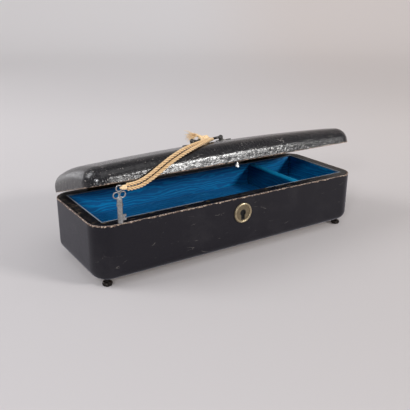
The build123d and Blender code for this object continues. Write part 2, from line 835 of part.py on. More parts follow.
# Escutcheon: a raised bead round a lower field, with the keyhole
bead_inner_radius = escutcheon_radius - escutcheon_bead_width
with BuildPart() as escutcheon:
    with BuildSketch(Plane((0, -half_depth, keyhole_z), x_dir=(1, 0, 0), z_dir=(0, 0, 1))):
        with BuildLine():
            Polyline(
                (bead_inner_radius, -escutcheon_field_height),
                (0, -escutcheon_field_height),
                (0, 0),
                (escutcheon_radius, 0),
                (escutcheon_radius, -escutcheon_field_height),
            )
            ThreePointArc(
                (escutcheon_radius, -escutcheon_field_height),
                (escutcheon_radius - escutcheon_bead_width / 2, -escutcheon_height),
                (bead_inner_radius, -escutcheon_field_height),
            )
        make_face()
    revolve(axis=Axis((0, -half_depth, keyhole_z), (0, 1, 0)))
    with BuildSketch(Plane.XZ.offset(half_depth - leather)):
        with Locations((0, keyhole_z)):
            add(keyhole.sketch)
    extrude(amount=escutcheon_height + 2 * leather, mode=Mode.SUBTRACT)
save(escutcheon, "escutcheon")

# Butt hinges at the rear: two leaves each, with interleaved knuckles round a pin
knuckle_pitch = leaf_length / knuckle_count
knuckle_clear = knuckle_radius + 2 * recess_gap
hinge_local_z = hinge_z - closed_lid_z


def hinge_leaf(centre_x, flat_plane, rise, axis_height, own_knuckles, screw_side):
    """One leaf: a plate let into the wood, with its share of the knuckles."""
    plate_depth = leaf_width - knuckle_clear
    first_x = centre_x - leaf_length / 2
    with BuildPart() as leaf:
        with BuildSketch(flat_plane(rise)):
            with Locations((centre_x, hinge_y - knuckle_clear - plate_depth / 2)):
                Rectangle(leaf_length, plate_depth)
            for number in own_knuckles:
                with Locations((first_x + (number + 0.5) * knuckle_pitch, hinge_y - knuckle_clear / 2)):
                    Rectangle(knuckle_pitch - 2 * knuckle_gap, knuckle_clear)
        extrude(amount=leaf_thickness)
        for number in own_knuckles:
            start_x = first_x + number * knuckle_pitch + knuckle_gap
            with BuildSketch(knuckle_plane(flat_plane, start_x, axis_height)):
                Circle(knuckle_radius)
            extrude(amount=knuckle_pitch - 2 * knuckle_gap)
        with BuildSketch(knuckle_plane(flat_plane, first_x - leaf_length, axis_height)):
            Circle(hinge_pin_radius + running_gap)
        extrude(amount=3 * leaf_length, mode=Mode.SUBTRACT)
        head_plane = flat_plane(rise + (leaf_thickness if screw_side > 0 else 0))
        for screw_x in leaf_screw_spots(centre_x):
            head = head_plane.from_local_coords((screw_x, leaf_screw_y, 0))
            with Locations(Plane(head, x_dir=(1, 0, 0), z_dir=head_plane.z_dir * screw_side)):
                CounterSinkHole(screw_radius + running_gap, screw_head_radius + running_gap)
    return leaf


def case_level(height):
    """A level plane of the case."""
    return Plane.XY.offset(height)


def knuckle_plane(flat_plane, start_x, axis_height):
    """A plane square to the hinge's axis."""
    level = flat_plane(axis_height)
    return Plane(
        level.from_local_coords((start_x, hinge_y, 0)), x_dir=level.y_dir, z_dir=level.x_dir
    )


case_knuckles = range(0, knuckle_count, 2)
lid_knuckles = range(1, knuckle_count, 2)
for side, name in ((-1, "left"), (1, "right")):
    case_leaf = hinge_leaf(
        side * leaf_centre_x, case_level, rim_z - leaf_thickness, hinge_z, case_knuckles, 1
    )
    save(case_leaf, f"hinge_case_leaf_{name}")
    lid_leaf = hinge_leaf(side * leaf_centre_x, lid_level, 0, hinge_local_z, lid_knuckles, -1)
    save(lid_leaf, f"hinge_lid_leaf_{name}")

with BuildPart() as hinge_pins:
    for side in (-1, 1):
        start_x = side * leaf_centre_x - leaf_length / 2 - hinge_pin_radius
        with BuildSketch(Plane((start_x, hinge_y, hinge_z), x_dir=(0, 1, 0), z_dir=(1, 0, 0))):
            Circle(hinge_pin_radius)
        extrude(amount=leaf_length + 2 * hinge_pin_radius)
    chamfer(hinge_pins.faces().filter_by(Axis.X).edges(), hinge_pin_radius * 0.3)
save(hinge_pins, "hinge_pins")

case_screws = wood_screws(
    [Vector(x, leaf_screw_y, rim_z) for x in leaf_screw_xs]
    + [Vector(x, selvage_screw_y, rim_z) for x in selvage_screw_xs],
    (0, 0, -1),
    leaf_screw_length,
)
save(case_screws, "case_screws")

# Lid board: solid under its crown, hollowed for the silk pad
staple_screw_xs = [staple_x + side * staple_screw_spacing / 2 for side in (-1, 1)]
lid_board_form = crowned_lid(leather)
with BuildPart() as lid_board:
    add(lid_board_form)
    with BuildSketch(lid_level(0)):
        Rectangle(case_length, case_depth)
    extrude(amount=facing, mode=Mode.SUBTRACT)
    with BuildSketch(lid_level(0)):
        Rectangle(2 * inner_x, 2 * inner_y)
    extrude(amount=lid_recess_depth, mode=Mode.SUBTRACT)
    with BuildSketch(lid_level(0)):
        with Locations(*[(sx * leaf_centre_x, hinge_y - leaf_width / 2) for sx in (-1, 1)]):
            Rectangle(leaf_cut_length, leaf_width + 2 * recess_gap)
    extrude(amount=leaf_thickness, mode=Mode.SUBTRACT)
    with BuildSketch(lid_level(0)):
        with Locations(*[(sx * leaf_centre_x, hinge_y) for sx in (-1, 1)]):
            Rectangle(leaf_cut_length, 2 * knuckle_clear)
    extrude(amount=hinge_local_z + knuckle_clear, mode=Mode.SUBTRACT)
    with BuildSketch(lid_level(0)):
        with Locations((staple_x, selvage_y)):
            Rectangle(staple_plate_length + 2 * recess_gap, selvage_width + 2 * recess_gap)
    extrude(amount=staple_plate_thickness, mode=Mode.SUBTRACT)
    with BuildSketch(lid_level(0)):
        with Locations(*[(x, leaf_screw_y) for x in leaf_screw_xs]):
            Circle(screw_radius + running_gap)
        with Locations(*[(x, selvage_y) for x in staple_screw_xs]):
            Circle(screw_radius + running_gap)
    extrude(amount=leaf_screw_length + recess_gap, mode=Mode.SUBTRACT)
    with BuildSketch(lid_level(lid_height - post_spigot_length - recess_gap)):
        with Locations((-post_spacing / 2, 0), (post_spacing / 2, 0)):
            Circle(post_spigot_radius + running_gap)
    extrude(amount=post_spigot_length, mode=Mode.SUBTRACT)
save(lid_board, "lid_board")

# Leather skin of the lid
lid_leather_form = crowned_lid(0)
with BuildPart() as lid_leather:
    add(lid_leather_form)
    add(lid_board_form, mode=Mode.SUBTRACT)
    with BuildSketch(lid_level(0)):
        with Locations(*[(sx * leaf_centre_x, hinge_y - leaf_width / 2) for sx in (-1, 1)]):
            Rectangle(leaf_cut_length, leaf_width + 2 * recess_gap)
    extrude(amount=leaf_thickness, mode=Mode.SUBTRACT)
    with BuildSketch(lid_level(0)):
        with Locations(*[(sx * leaf_centre_x, hinge_y) for sx in (-1, 1)]):
            Rectangle(leaf_cut_length, 2 * knuckle_clear)
    extrude(amount=hinge_local_z + knuckle_clear, mode=Mode.SUBTRACT)
    with BuildSketch(lid_level(lid_height - 2 * leather)):
        with Locations((-post_spacing / 2, 0), (post_spacing / 2, 0)):
            Circle(post_spigot_radius + running_gap)
    extrude(amount=3 * leather, mode=Mode.SUBTRACT)
save(lid_leather, "lid_leather")

# Black facing under the lid's edge
with BuildPart() as lid_facing:
    with BuildSketch(lid_level(0)):
        RectangleRounded(
            case_length - 2 * facing_setback,
            case_depth - 2 * facing_setback,
            corner_radius - facing_setback,
        )
        Rectangle(2 * inner_x, 2 * inner_y, mode=Mode.SUBTRACT)
        with Locations(*[(sx * leaf_centre_x, hinge_y - leaf_width / 2) for sx in (-1, 1)]):
            Rectangle(leaf_cut_length, leaf_width + 2 * recess_gap, mode=Mode.SUBTRACT)
        with Locations((staple_x, selvage_y)):
            Rectangle(
                staple_plate_length + 2 * recess_gap, selvage_width + 2 * recess_gap, mode=Mode.SUBTRACT
            )
    extrude(amount=facing)
save(lid_facing, "lid_facing")

# Silk-covered frame and crowned silk pad inside the lid
with BuildPart() as lid_lining:
    with BuildSketch(lid_level(lining_drop)):
        Rectangle(2 * inner_x, 2 * inner_y)
        Rectangle(2 * lined_x, 2 * lined_y, mode=Mode.SUBTRACT)
        with Locations((staple_x, selvage_y)):
            Rectangle(
                staple_plate_length + 2 * recess_gap, selvage_width + 2 * recess_gap, mode=Mode.SUBTRACT
            )
    extrude(amount=lid_recess_depth - lining_drop)
save(lid_lining, "lid_lining")

pad_x = lined_x - 3 * board_gap
pad_y = lined_y - 3 * board_gap
pad_edge_height = lid_recess_depth - lid_pad_edge
pad_low_height = pad_edge_height - lid_pad_crown
with BuildPart() as lid_pad:
    with BuildSketch(lid_level(pad_low_height)):
        Rectangle(2 * pad_x, 2 * pad_y)
    extrude(amount=lid_recess_depth - pad_low_height)
    with BuildSketch(lid_upright(x=-pad_x)):
        with BuildLine():
            ThreePointArc((-pad_y, pad_edge_height), (0, pad_low_height), (pad_y, pad_edge_height))
            Polyline(
                (pad_y, pad_edge_height),
                (pad_y, lid_recess_depth),
                (-pad_y, lid_recess_depth),
                (-pad_y, pad_edge_height),
            )
        make_face()
    extrude(amount=2 * pad_x, mode=Mode.INTERSECT)
    lower_face = lid_pad.faces().sort_by(Axis(lid_plane.origin, lid_plane.z_dir))[0]
    fillet(lower_face.edges(), lid_pad_edge * 0.6)
save(lid_pad, "lid_pad")

# Staple: a plate under the lid's front edge with an eye for the bolt
with BuildPart() as staple:
    with BuildSketch(lid_level(0)):
        with Locations((staple_x, selvage_y)):
            Rectangle(staple_plate_length, selvage_width)
    extrude(amount=staple_plate_thickness)
    with BuildSketch(lid_upright(x=staple_x - staple_eye_thickness / 2, y=selvage_y)):
        with Locations((0, -staple_drop / 2)):
            Rectangle(staple_eye_depth, staple_drop)
        with Locations((0, eye_centre_z - closed_lid_z)):
            Rectangle(staple_eye_depth - 2 * staple_rim, bolt_nose + staple_clearance, mode=Mode.SUBTRACT)
    extrude(amount=staple_eye_thickness)
    for screw_x in staple_screw_xs:
        head = lid_plane.from_local_coords((screw_x, selvage_y, 0))
        with Locations(Plane(head, x_dir=(1, 0, 0), z_dir=-lid_plane.z_dir)):
            CounterSinkHole(screw_radius + running_gap, screw_head_radius + running_gap)
save(staple, "staple")
lid_screws = wood_screws(
    [lid_plane.from_local_coords((x, leaf_screw_y, 0)) for x in leaf_screw_xs]
    + [lid_plane.from_local_coords((x, selvage_y, 0)) for x in staple_screw_xs],
    tuple(lid_plane.z_dir),
    leaf_screw_length,
)
save(lid_screws, "lid_screws")

# Handle posts: leaf-shaped plates on the crown, each with a turned post bored for the bail
bail_height = lid_height + handle_rise
plate_top_height = lid_height + handle_plate_thickness
post_bore_inset = post_radius + post_foot_flare
for side, name in ((-1, "left"), (1, "right")):
    post_x = side * post_spacing / 2
    with BuildPart() as handle_post:
        with BuildSketch(lid_level(lid_height)):
            with Locations((post_x + side * handle_plate_offset, 0)):
                Ellipse(handle_plate_length / 2, handle_plate_width / 2)
        extrude(amount=handle_plate_thickness)
        with BuildSketch(lid_front(x=post_x)):
            with BuildLine():
                Polyline(
                    (0, bail_height + post_radius),
                    (0, lid_height - post_spigot_length),
                    (post_spigot_radius, lid_height - post_spigot_length),
                    (post_spigot_radius, lid_height),
                    (post_radius + post_foot_flare, lid_height),
                    (post_radius + post_foot_flare, plate_top_height + post_waist),
                    (post_radius - post_waist, plate_top_height + post_foot_flare),
                    (post_radius, bail_height),
                )
                RadiusArc((post_radius, bail_height), (0, bail_height + post_radius), -post_radius)
            make_face()
        post_foot = lid_plane.from_local_coords((post_x, 0, 0))
        revolve(axis=Axis(post_foot, lid_plane.z_dir))
        with BuildSketch(lid_upright(x=post_x - side * post_bore_inset, height=bail_height)):
            Circle(bail_wire + running_gap)
        extrude(amount=side * (post_bore_inset + bail_end_length + recess_gap), mode=Mode.SUBTRACT)
    save(handle_post, f"handle_post_{name}")

# Bail, lying back on the lid
bail_leg_x = post_spacing / 2 - post_radius - bail_wire - 4 * recess_gap
bail_end_x = post_spacing / 2 + bail_end_length
bail_points = [
    (-bail_end_x, 0), (-bail_leg_x, 0), (-bail_leg_x, bail_reach),
    (bail_leg_x, bail_reach), (bail_leg_x, 0), (bail_end_x, 0),
]
with BuildPart() as handle_bail:
    with BuildLine(lid_level(bail_height)) as bail_line:
        FilletPolyline(*bail_points, radius=[bail_end_bend, bail_corner, bail_corner, bail_end_bend])
    with BuildSketch(lid_upright(x=-bail_end_x, height=bail_height)):
        Circle(bail_wire)
    sweep(path=bail_line.line)
save(handle_bail, "handle_bail")


def cord_tube(route, radius):
    """A tube of straight runs joined by tangent arcs, each as large as its two runs allow."""
    points = [Vector(*point) for point in route]
    runs = [second - first for first, second in zip(points, points[1:])]
    radii = []
    for before, after in zip(runs, runs[1:]):
        half_turn = math.radians(before.get_angle(after)) / 2
        radii.append(0.45 * min(before.length, after.length) / math.tan(half_turn))
    with BuildPart() as tube:
        with BuildLine() as path:
            FilletPolyline(*points, radius=radii)
        with BuildSketch(Plane(path.line @ 0, z_dir=path.line % 0)):
            Circle(radius)
        sweep(path=path.line)
    length = sum(edge.length for edge in path.edges())
    share = tube.part.volume / (length * math.pi * radius**2)
    print("cord radii", [round(value, 1) for value in radii], "length", round(length, 1),
          "volume over section times length", round(share, 4))
    return tube


# Cord: two strands from the knot over the lid's front shoulder to the key, in the lid's frame
strand_routes = {
    "cord_strand_lower": [
        (7.2, 6.1, 25.3), (3.4, -4.0, 24.4), (-4.0, -16.5, 23.9), (-15.0, -29.0, 22.7),
        (-29.5, -39.8, 20.3), (-44.0, -47.0, 17.3), (-58.0, -50.1, 13.0), (-69.5, -51.8, 8.5),
        (-79.5, -52.3, 3.4), (-88.0, -52.7, -0.9), (-96.5, -53.9, -4.3), (-105.0, -55.6, -6.1),
        (-112.9, -56.7, -5.8),
    ],
    "cord_strand_upper": [
        (3.9, 6.1, 25.3), (0.1, -3.0, 24.4), (-7.3, -14.6, 24.0), (-18.2, -26.7, 23.1),
        (-32.4, -37.4, 21.5), (-46.4, -44.9, 19.6), (-59.4, -49.7, 16.2), (-70.8, -51.8, 11.9),
        (-80.8, -52.3, 6.9), (-89.4, -52.7, 2.4), (-97.8, -53.9, -0.9), (-105.8, -55.7, -2.7),
        (-112.9, -56.7, -2.6),
    ],
}
for name, route in strand_routes.items():
    strand = cord_tube([lid_plane.from_local_coords(point) for point in route], strand_radius)
    save(strand, name)

# Knot of the cord round the bail's bar, with its frayed end
tail_route = [(1.5, 10.2, 28.0), (-3.8, 11.2, 31.3), (-10.5, 11.5, 32.1)]
tail = cord_tube([lid_plane.from_local_coords(point) for point in tail_route], tail_radius)
with BuildPart() as cord_knot:
    with BuildSketch(lid_level(bail_height, x=knot_centre_x, y=bail_reach)):
        with BuildLine():
            Polyline(
                (-knot_length / 2, knot_end_radius),
                (-knot_length / 2, 0),
                (knot_length / 2, 0),
                (knot_length / 2, knot_end_radius),
            )
            ThreePointArc(
                (knot_length / 2, knot_end_radius),
                (0, knot_radius),
                (-knot_length / 2, knot_end_radius),
            )
        make_face()
    bar_middle = lid_plane.from_local_coords((0, bail_reach, bail_height))
    revolve(axis=Axis(bar_middle, lid_plane.x_dir))
    add(tail.part)
    with BuildSketch(lid_upright(x=knot_centre_x - knot_length, y=bail_reach, height=bail_height)):
        Circle(bail_wire + running_gap)
    extrude(amount=2 * knot_length, mode=Mode.SUBTRACT)
save(cord_knot, "cord_knot")

# Key: a trefoil bow of three rings, a collar, a pin shank and a notched bit
cord_ends = [lid_plane.from_local_coords(route[-1]) for route in strand_routes.values()]
cord_end = (cord_ends[0] + cord_ends[1]) * 0.5
key_pivot_x = cord_end.X - key_to_cord
key_y = cord_end.Y
key_pivot_z = cord_end.Z
lower_ring_x = bow_ring_radius + bow_wire / 2
key_plane = Plane((key_pivot_x, key_y, key_pivot_z), x_dir=(1, 0, 0), z_dir=(0, -1, 0))
collar_radius = key_shank_radius + key_collar_groove
groove_half = key_collar_groove / 2
with BuildPart() as key:
    for ring_x, ring_z in ((0, 0), (-lower_ring_x, -bow_drop), (lower_ring_x, -bow_drop)):
        ring_place = Location((key_pivot_x + ring_x, key_y, key_pivot_z + ring_z), (90, 0, 0))
        with Locations(ring_place):
            Torus(bow_ring_radius, bow_wire)
    stem_top = -bow_drop - bow_ring_radius + 2 * bow_wire
    with BuildSketch(key_plane):
        with BuildLine():
            Polyline(
                (0, stem_top),
                (2 * bow_wire, stem_top),
                (key_shank_radius, stem_top - bow_shoulder),
                (key_shank_radius, -key_collar_drop + key_collar_ring + 2 * groove_half),
                (collar_radius, -key_collar_drop + key_collar_ring + groove_half),
                (collar_radius, -key_collar_drop + groove_half),
                (key_shank_radius, -key_collar_drop),
                (collar_radius, -key_collar_drop - groove_half),
                (collar_radius, -key_collar_drop - key_collar_ring - groove_half),
                (key_shank_radius, -key_collar_drop - key_collar_ring - 2 * groove_half),
                (key_shank_radius, -key_length_below_pivot + bow_wire),
                (key_shank_radius - bow_wire, -key_length_below_pivot),
                (0, -key_length_below_pivot),
                close=True,
            )
        make_face()
    revolve(axis=Axis((key_pivot_x, key_y, key_pivot_z), (0, 0, 1)))
    bit_front_y = key_y - key_bit_thickness / 2
    bit_middle = key_length_below_pivot - key_bit_rise - key_bit_height / 2
    bit_end = key_shank_radius + key_bit_length
    with BuildSketch(Plane((key_pivot_x, bit_front_y, key_pivot_z), x_dir=(1, 0, 0), z_dir=(0, 1, 0))):
        with Locations((bit_end / 2, bit_middle)):
            Rectangle(bit_end, key_bit_height)
        with Locations((bit_end - key_ward_length / 2, bit_middle)):
            Rectangle(key_ward_length, key_ward_height, mode=Mode.SUBTRACT)
    extrude(amount=key_bit_thickness)
save(key, "key")

# Turns of the cord through the bow's upper ring, round about the axis that the key hangs from
tie_low_x = 2 * bow_wire
tie_high_x = tie_low_x + key_tie_length
with BuildPart() as key_tie:
    with BuildSketch(key_plane):
        with BuildLine():
            Polyline(
                (tie_low_x, 0),
                (tie_high_x, 0),
                (tie_high_x, key_tie_radius),
                (tie_high_x - key_tie_length / 2, key_tie_radius),
                (tie_low_x, key_tie_core_radius),
                close=True,
            )
        make_face()
    revolve(axis=Axis((key_pivot_x, key_y, key_pivot_z), (1, 0, 0)))
    with Locations(Location((key_pivot_x, key_y, key_pivot_z), (90, 0, 0))):
        Torus(bow_ring_radius, bow_wire + running_gap, mode=Mode.SUBTRACT)
save(key_tie, "key_tie")

# Bedplate of the movement, cast in one with three bearing lugs and the comb's seat
contrate_radius = (barrel_flange_radius + contrate_inner_radius) / 2
pinion_radius = contrate_radius * pinion_teeth / barrel_teeth
flange_low_z = raised_board_z - flange_to_board
train_z = flange_low_z - contrate_depth / 2 - pinion_radius
left_lug_x = barrel_x + barrel_flange_radius + axial_gap
cylinder_low_x = left_lug_x + lug_thickness + axial_gap
cylinder_high_x = cylinder_low_x + cylinder_length
cylinder_wheel_x = cylinder_high_x + axial_gap
middle_lug_x = cylinder_wheel_x + train_wheel_width + wheel_to_lug
governor_wheel_x = middle_lug_x + lug_thickness + 2 * axial_gap
fan_low_x = governor_wheel_x + train_wheel_width + axial_gap
brake_low_x = fan_low_x + fan_width + axial_gap
right_lug_x = brake_low_x + brake_width + axial_gap
comb_tip_y = -(cylinder_radius + cylinder_pin_height + 3 * recess_gap)
comb_root_y = comb_tip_y - comb_tooth_length
comb_rear_y = comb_root_y - comb_heel_width
comb_length = comb_teeth * comb_pitch
comb_centre_x = (cylinder_low_x + cylinder_high_x) / 2
comb_low_z = train_z - comb_thickness / 2
comb_screw_spots = [
    (comb_centre_x + step * comb_length * comb_screw_share, comb_rear_y + comb_screw_inset) for step in (-1, 0, 1)
]
bridge_low_z = raised_board_z - bridge_to_board
pillar_y = barrel_flange_radius + pillar_from_flange
lugs = [
    (left_lug_x, -lug_reach, lug_reach),
    (middle_lug_x, -lug_reach, fan_y + lug_end_reach),
    (right_lug_x, train_distance - lug_end_reach, fan_y + lug_end_reach),
]
arbor_bores = [
    (left_lug_x, 0.0),
    (middle_lug_x, 0.0),
    (middle_lug_x, train_distance),
    (right_lug_x, train_distance),
    (middle_lug_x, fan_y),
    (right_lug_x, fan_y),
]
with BuildPart() as movement_bedplate:
    with BuildSketch(Plane.XY.offset(base_top_z)):
        with Locations(((bedplate_low_x + bedplate_high_x) / 2, 0)):
            RectangleRounded(bedplate_length, bedplate_width, bedplate_corner)
        with Locations((stop_x, stop_y - stop_travel / 2)):
            SlotOverall(
                stop_travel + 3 * stop_pin_radius, 3 * stop_pin_radius, rotation=90, mode=Mode.SUBTRACT
            )
    extrude(amount=bedplate_thickness)
    for lug_x, low_y, high_y in lugs:
        with BuildSketch(Plane.XY.offset(base_top_z)):
            with Locations((lug_x + lug_thickness / 2, (low_y + high_y) / 2)):
                Rectangle(lug_thickness, high_y - low_y)
        extrude(amount=train_z + lug_rise - base_top_z)
    with BuildSketch(Plane.XY.offset(base_top_z)):
        with Locations((comb_centre_x, (comb_root_y + comb_rear_y) / 2 - comb_heel_seat)):
            Rectangle(comb_length + 2 * comb_heel_seat, comb_heel_width - 2 * comb_heel_seat)
    extrude(amount=comb_low_z - base_top_z)
    for bore_x, bore_y in arbor_bores:
        with BuildSketch(Plane((bore_x, bore_y, train_z), x_dir=(0, 1, 0), z_dir=(1, 0, 0))):
            Circle(train_arbor_radius + running_gap)
        extrude(amount=lug_thickness, mode=Mode.SUBTRACT)
    with Locations((barrel_x, 0, bedplate_top_z)):
        Hole(arbor_radius + running_gap)
    with Locations(*[(x, y, bedplate_top_z) for x, y in bedplate_screw_spots]):
        CounterSinkHole(screw_radius + running_gap, screw_head_radius + running_gap)
    with Locations(*[(x, y, comb_low_z) for x, y in comb_screw_spots]):
        Hole(screw_radius + running_gap, depth=movement_screw_length)
save(movement_bedplate, "movement_bedplate")

# Spring barrel: a drum under a flange whose underside carries contrate teeth
ratchet_low_z = bedplate_top_z + 3 * recess_gap
barrel_low_z = ratchet_low_z + click_thickness + 3 * recess_gap
with BuildPart() as barrel:
    with BuildSketch(Plane((barrel_x, 0, 0), x_dir=(1, 0, 0), z_dir=(0, -1, 0))):
        with BuildLine():
            Polyline(
                (arbor_radius + running_gap, barrel_low_z),
                (barrel_radius, barrel_low_z),
                (barrel_radius, flange_low_z),
                (barrel_flange_radius, flange_low_z),
                (barrel_flange_radius, flange_low_z + flange_thickness),
                (arbor_radius + running_gap, flange_low_z + flange_thickness),
                (arbor_radius + running_gap, flange_low_z - barrel_wall),
                (barrel_radius - barrel_wall, flange_low_z - barrel_wall),
                (barrel_radius - barrel_wall, barrel_low_z + barrel_wall),
                (arbor_radius + running_gap, barrel_low_z + barrel_wall),
                close=True,
            )
        make_face()
    revolve(axis=Axis((barrel_x, 0, 0), (0, 0, 1)))
    with BuildSketch(Plane.XY.offset(flange_low_z)):
        with Locations((barrel_x, 0)):
            with PolarLocations(contrate_radius, barrel_teeth, start_angle=180 / barrel_teeth):
                Rectangle(barrel_flange_radius - contrate_inner_radius, contrate_depth * contrate_tooth_share)
    extrude(amount=-contrate_depth)
save(barrel, "barrel")

# Mainspring coiled in the barrel
hub_radius = arbor_radius + barrel_hub_wall
spring_low_reach = hub_radius + 3 * recess_gap
spring_high_reach = barrel_radius - barrel_wall - 3 * recess_gap
spring_steps = spring_turns * 360 // spring_step_angle
spiral_points = []
for step in range(spring_steps + 1):
    reach = spring_low_reach + (spring_high_reach - spring_low_reach) * step / spring_steps
    turn = math.radians(step * spring_step_angle)
    spiral_points.append((reach * math.cos(turn), reach * math.sin(turn)))
with BuildPart() as mainspring:
    with BuildSketch(Plane((barrel_x, 0, barrel_low_z + barrel_wall + 2 * recess_gap))):
        with BuildLine():
            Polyline(*spiral_points)
        trace(line_width=spring_thickness)
    extrude(amount=flange_low_z - barrel_low_z - 2 * barrel_wall - 4 * recess_gap)
save(mainspring, "mainspring")

# Winding arbor with its hub, the ratchet wheel on it and the winding key under the base
arbor_high_z = bridge_low_z + bridge_thickness - recess_gap
with BuildPart() as winding_arbor:
    with BuildSketch(Plane((barrel_x, 0, 0), x_dir=(1, 0, 0), z_dir=(0, -1, 0))):
        with BuildLine():
            Polyline(
                (0, arbor_low_z),
                (arbor_radius, arbor_low_z),
                (arbor_radius, barrel_low_z + barrel_wall + recess_gap),
                (hub_radius, barrel_low_z + barrel_wall + recess_gap),
                (hub_radius, flange_low_z - barrel_wall - recess_gap),
                (arbor_radius, flange_low_z - barrel_wall - recess_gap),
                (arbor_radius, arbor_high_z),
                (0, arbor_high_z),
                close=True,
            )
        make_face()
    revolve(axis=Axis((barrel_x, 0, 0), (0, 0, 1)))
save(winding_arbor, "winding_arbor")

ratchet_corners = []
for tooth in range(ratchet_teeth):
    steep_turn = -math.pi / 2 - tooth * 2 * math.pi / ratchet_teeth
    tip_turn = steep_turn - 2 * math.pi / ratchet_teeth
    ratchet_corners.append((ratchet_root * math.cos(steep_turn), ratchet_root * math.sin(steep_turn)))
    ratchet_corners.append((ratchet_radius * math.cos(tip_turn), ratchet_radius * math.sin(tip_turn)))
with BuildPart() as ratchet_wheel:
    with BuildSketch(Plane((barrel_x, 0, ratchet_low_z))):
        with BuildLine():
            Polyline(*ratchet_corners, close=True)
        make_face()
        Circle(arbor_radius + running_gap, mode=Mode.SUBTRACT)
    extrude(amount=click_thickness)
save(ratchet_wheel, "ratchet_wheel")

with BuildPart() as winding_key:
    with Locations((barrel_x, 0, wing_low_z + winding_gap)):
        Cylinder(
            winding_hub_radius,
            foot_height - wing_low_z - 2 * winding_gap,
            align=(Align.CENTER, Align.CENTER, Align.MIN),
        )
    with BuildSketch(Plane((barrel_x, wing_thickness / 2, wing_low_z), x_dir=(1, 0, 0), z_dir=(0, -1, 0))):
        with Locations((0, wing_height / 2)):
            RectangleRounded(2 * wing_reach, wing_height, wing_end_radius)
        with Locations(*[(side * wing_reach * wing_hole_share, wing_height / 2) for side in (-1, 1)]):
            Circle(wing_hole_radius, mode=Mode.SUBTRACT)
    extrude(amount=wing_thickness)
    with Locations((barrel_x, 0, arbor_low_z)):
        Cylinder(
            arbor_radius + running_gap,
            foot_height,
            align=(Align.CENTER, Align.CENTER, Align.MIN),
            mode=Mode.SUBTRACT,
        )
save(winding_key, "winding_key")

# Click that lets the arbor be wound one way only, on its own pin with a coiled spring
click_pivot_x = -click_from_barrel_x
click_pivot_y = -click_from_barrel_y
tip_low_y = -ratchet_root - click_tip_gap
with BuildPart() as click:
    with BuildSketch(Plane((barrel_x, 0, ratchet_low_z))):
        with BuildLine():
            Polyline(
                (-click_tip_gap, tip_low_y),
                (-click_tip_gap - click_tip_width, tip_low_y - click_tip_width / 2),
                (click_pivot_x + click_arm_width, click_pivot_y + click_arm_width),
                (click_pivot_x, click_pivot_y - click_arm_width),
                (-click_tip_gap, -ratchet_radius - click_tip_gap),
                close=True,
            )
        make_face()
        with Locations((click_pivot_x, click_pivot_y)):
            Circle(click_eye_radius)
            Circle(click_pin_radius + running_gap, mode=Mode.SUBTRACT)
    extrude(amount=click_thickness)
save(click, "click")

with BuildPart() as click_pin:
    with Locations((barrel_x + click_pivot_x, click_pivot_y, bedplate_top_z)):
        Cylinder(
            click_pin_radius, click_pin_height + click_pin_head, align=(Align.CENTER, Align.CENTER, Align.MIN)
        )
    with Locations((barrel_x + click_pivot_x, click_pivot_y, bedplate_top_z + click_pin_height)):
        Cylinder(2 * click_pin_radius, click_pin_head, align=(Align.CENTER, Align.CENTER, Align.MIN))
save(click_pin, "click_pin")

# Bridge over the barrel on two pillars
with BuildPart() as barrel_bridge:
    with BuildSketch(Plane.XY.offset(bridge_low_z)):
        with Locations((barrel_x, 0)):
            SlotOverall(2 * pillar_y + bridge_width, bridge_width, rotation=90)
            Circle(arbor_radius + running_gap, mode=Mode.SUBTRACT)
    extrude(amount=bridge_thickness)
    with Locations(*[(barrel_x, sy * pillar_y, bedplate_top_z) for sy in (-1, 1)]):
        Cylinder(
            pillar_radius, bridge_low_z - bedplate_top_z, align=(Align.CENTER, Align.CENTER, Align.MIN)
        )
    with Locations(*[(barrel_x, sy * pillar_y, bridge_low_z + bridge_thickness) for sy in (-1, 1)]):
        CounterSinkHole(
            screw_radius + running_gap, screw_head_radius + running_gap, depth=movement_screw_length + recess_gap
        )
save(barrel_bridge, "barrel_bridge")

# Pinned cylinder, its arbor with the pinion, and the wheel that drives the governor
train_plane = Plane((0, 0, train_z), x_dir=(0, 1, 0), z_dir=(1, 0, 0))


def train_place(x, y):
    """A plane square to the train's arbors."""
    return Plane((x, y, train_z), x_dir=(0, 1, 0), z_dir=(1, 0, 0))


with BuildPart() as pinned_cylinder:
    with BuildSketch(train_place(cylinder_low_x, 0)):
        Circle(cylinder_radius)
        Circle(train_arbor_radius + running_gap, mode=Mode.SUBTRACT)
    extrude(amount=cylinder_length)
    pin_places = []
    for track in range(comb_teeth):
        for turn in (track * 140 % 360, (track * 100 + 70) % 360):
            track_x = comb_centre_x + (track - (comb_teeth - 1) / 2) * comb_pitch
            middle = train_place(track_x, 0)
            away = Vector(0, math.cos(math.radians(turn)), math.sin(math.radians(turn)))
            foot_point = middle.origin + away * (cylinder_radius - cylinder_pin_height)
            pin_places.append(Plane(foot_point, x_dir=(1, 0, 0), z_dir=away))
    with Locations(*pin_places):
        Cylinder(
            cylinder_pin_radius, 2 * cylinder_pin_height, align=(Align.CENTER, Align.CENTER, Align.MIN)
        )
save(pinned_cylinder, "pinned_cylinder")

pinion_low_x = barrel_x + contrate_inner_radius - recess_gap
pinion_outline = toothed_outline(
    pinion_teeth, pinion_radius - pinion_root, pinion_radius + pinion_tip, pinion_root_share, pinion_tip_share, 90
)
cylinder_wheel = spur_wheel(train_place(cylinder_wheel_x, 0), train_wheel_teeth, train_wheel_width, 0)
with BuildPart() as cylinder_arbor:
    with BuildSketch(train_place(pinion_low_x, 0)):
        with BuildLine():
            Polyline(*pinion_outline, close=True)
        make_face()
    extrude(amount=pinion_width)
    with BuildSketch(train_place(pinion_low_x, 0)):
        Circle(train_arbor_radius)
    extrude(amount=middle_lug_x + lug_thickness + 3 * recess_gap - pinion_low_x)
    add(cylinder_wheel)
save(cylinder_arbor, "cylinder_arbor")

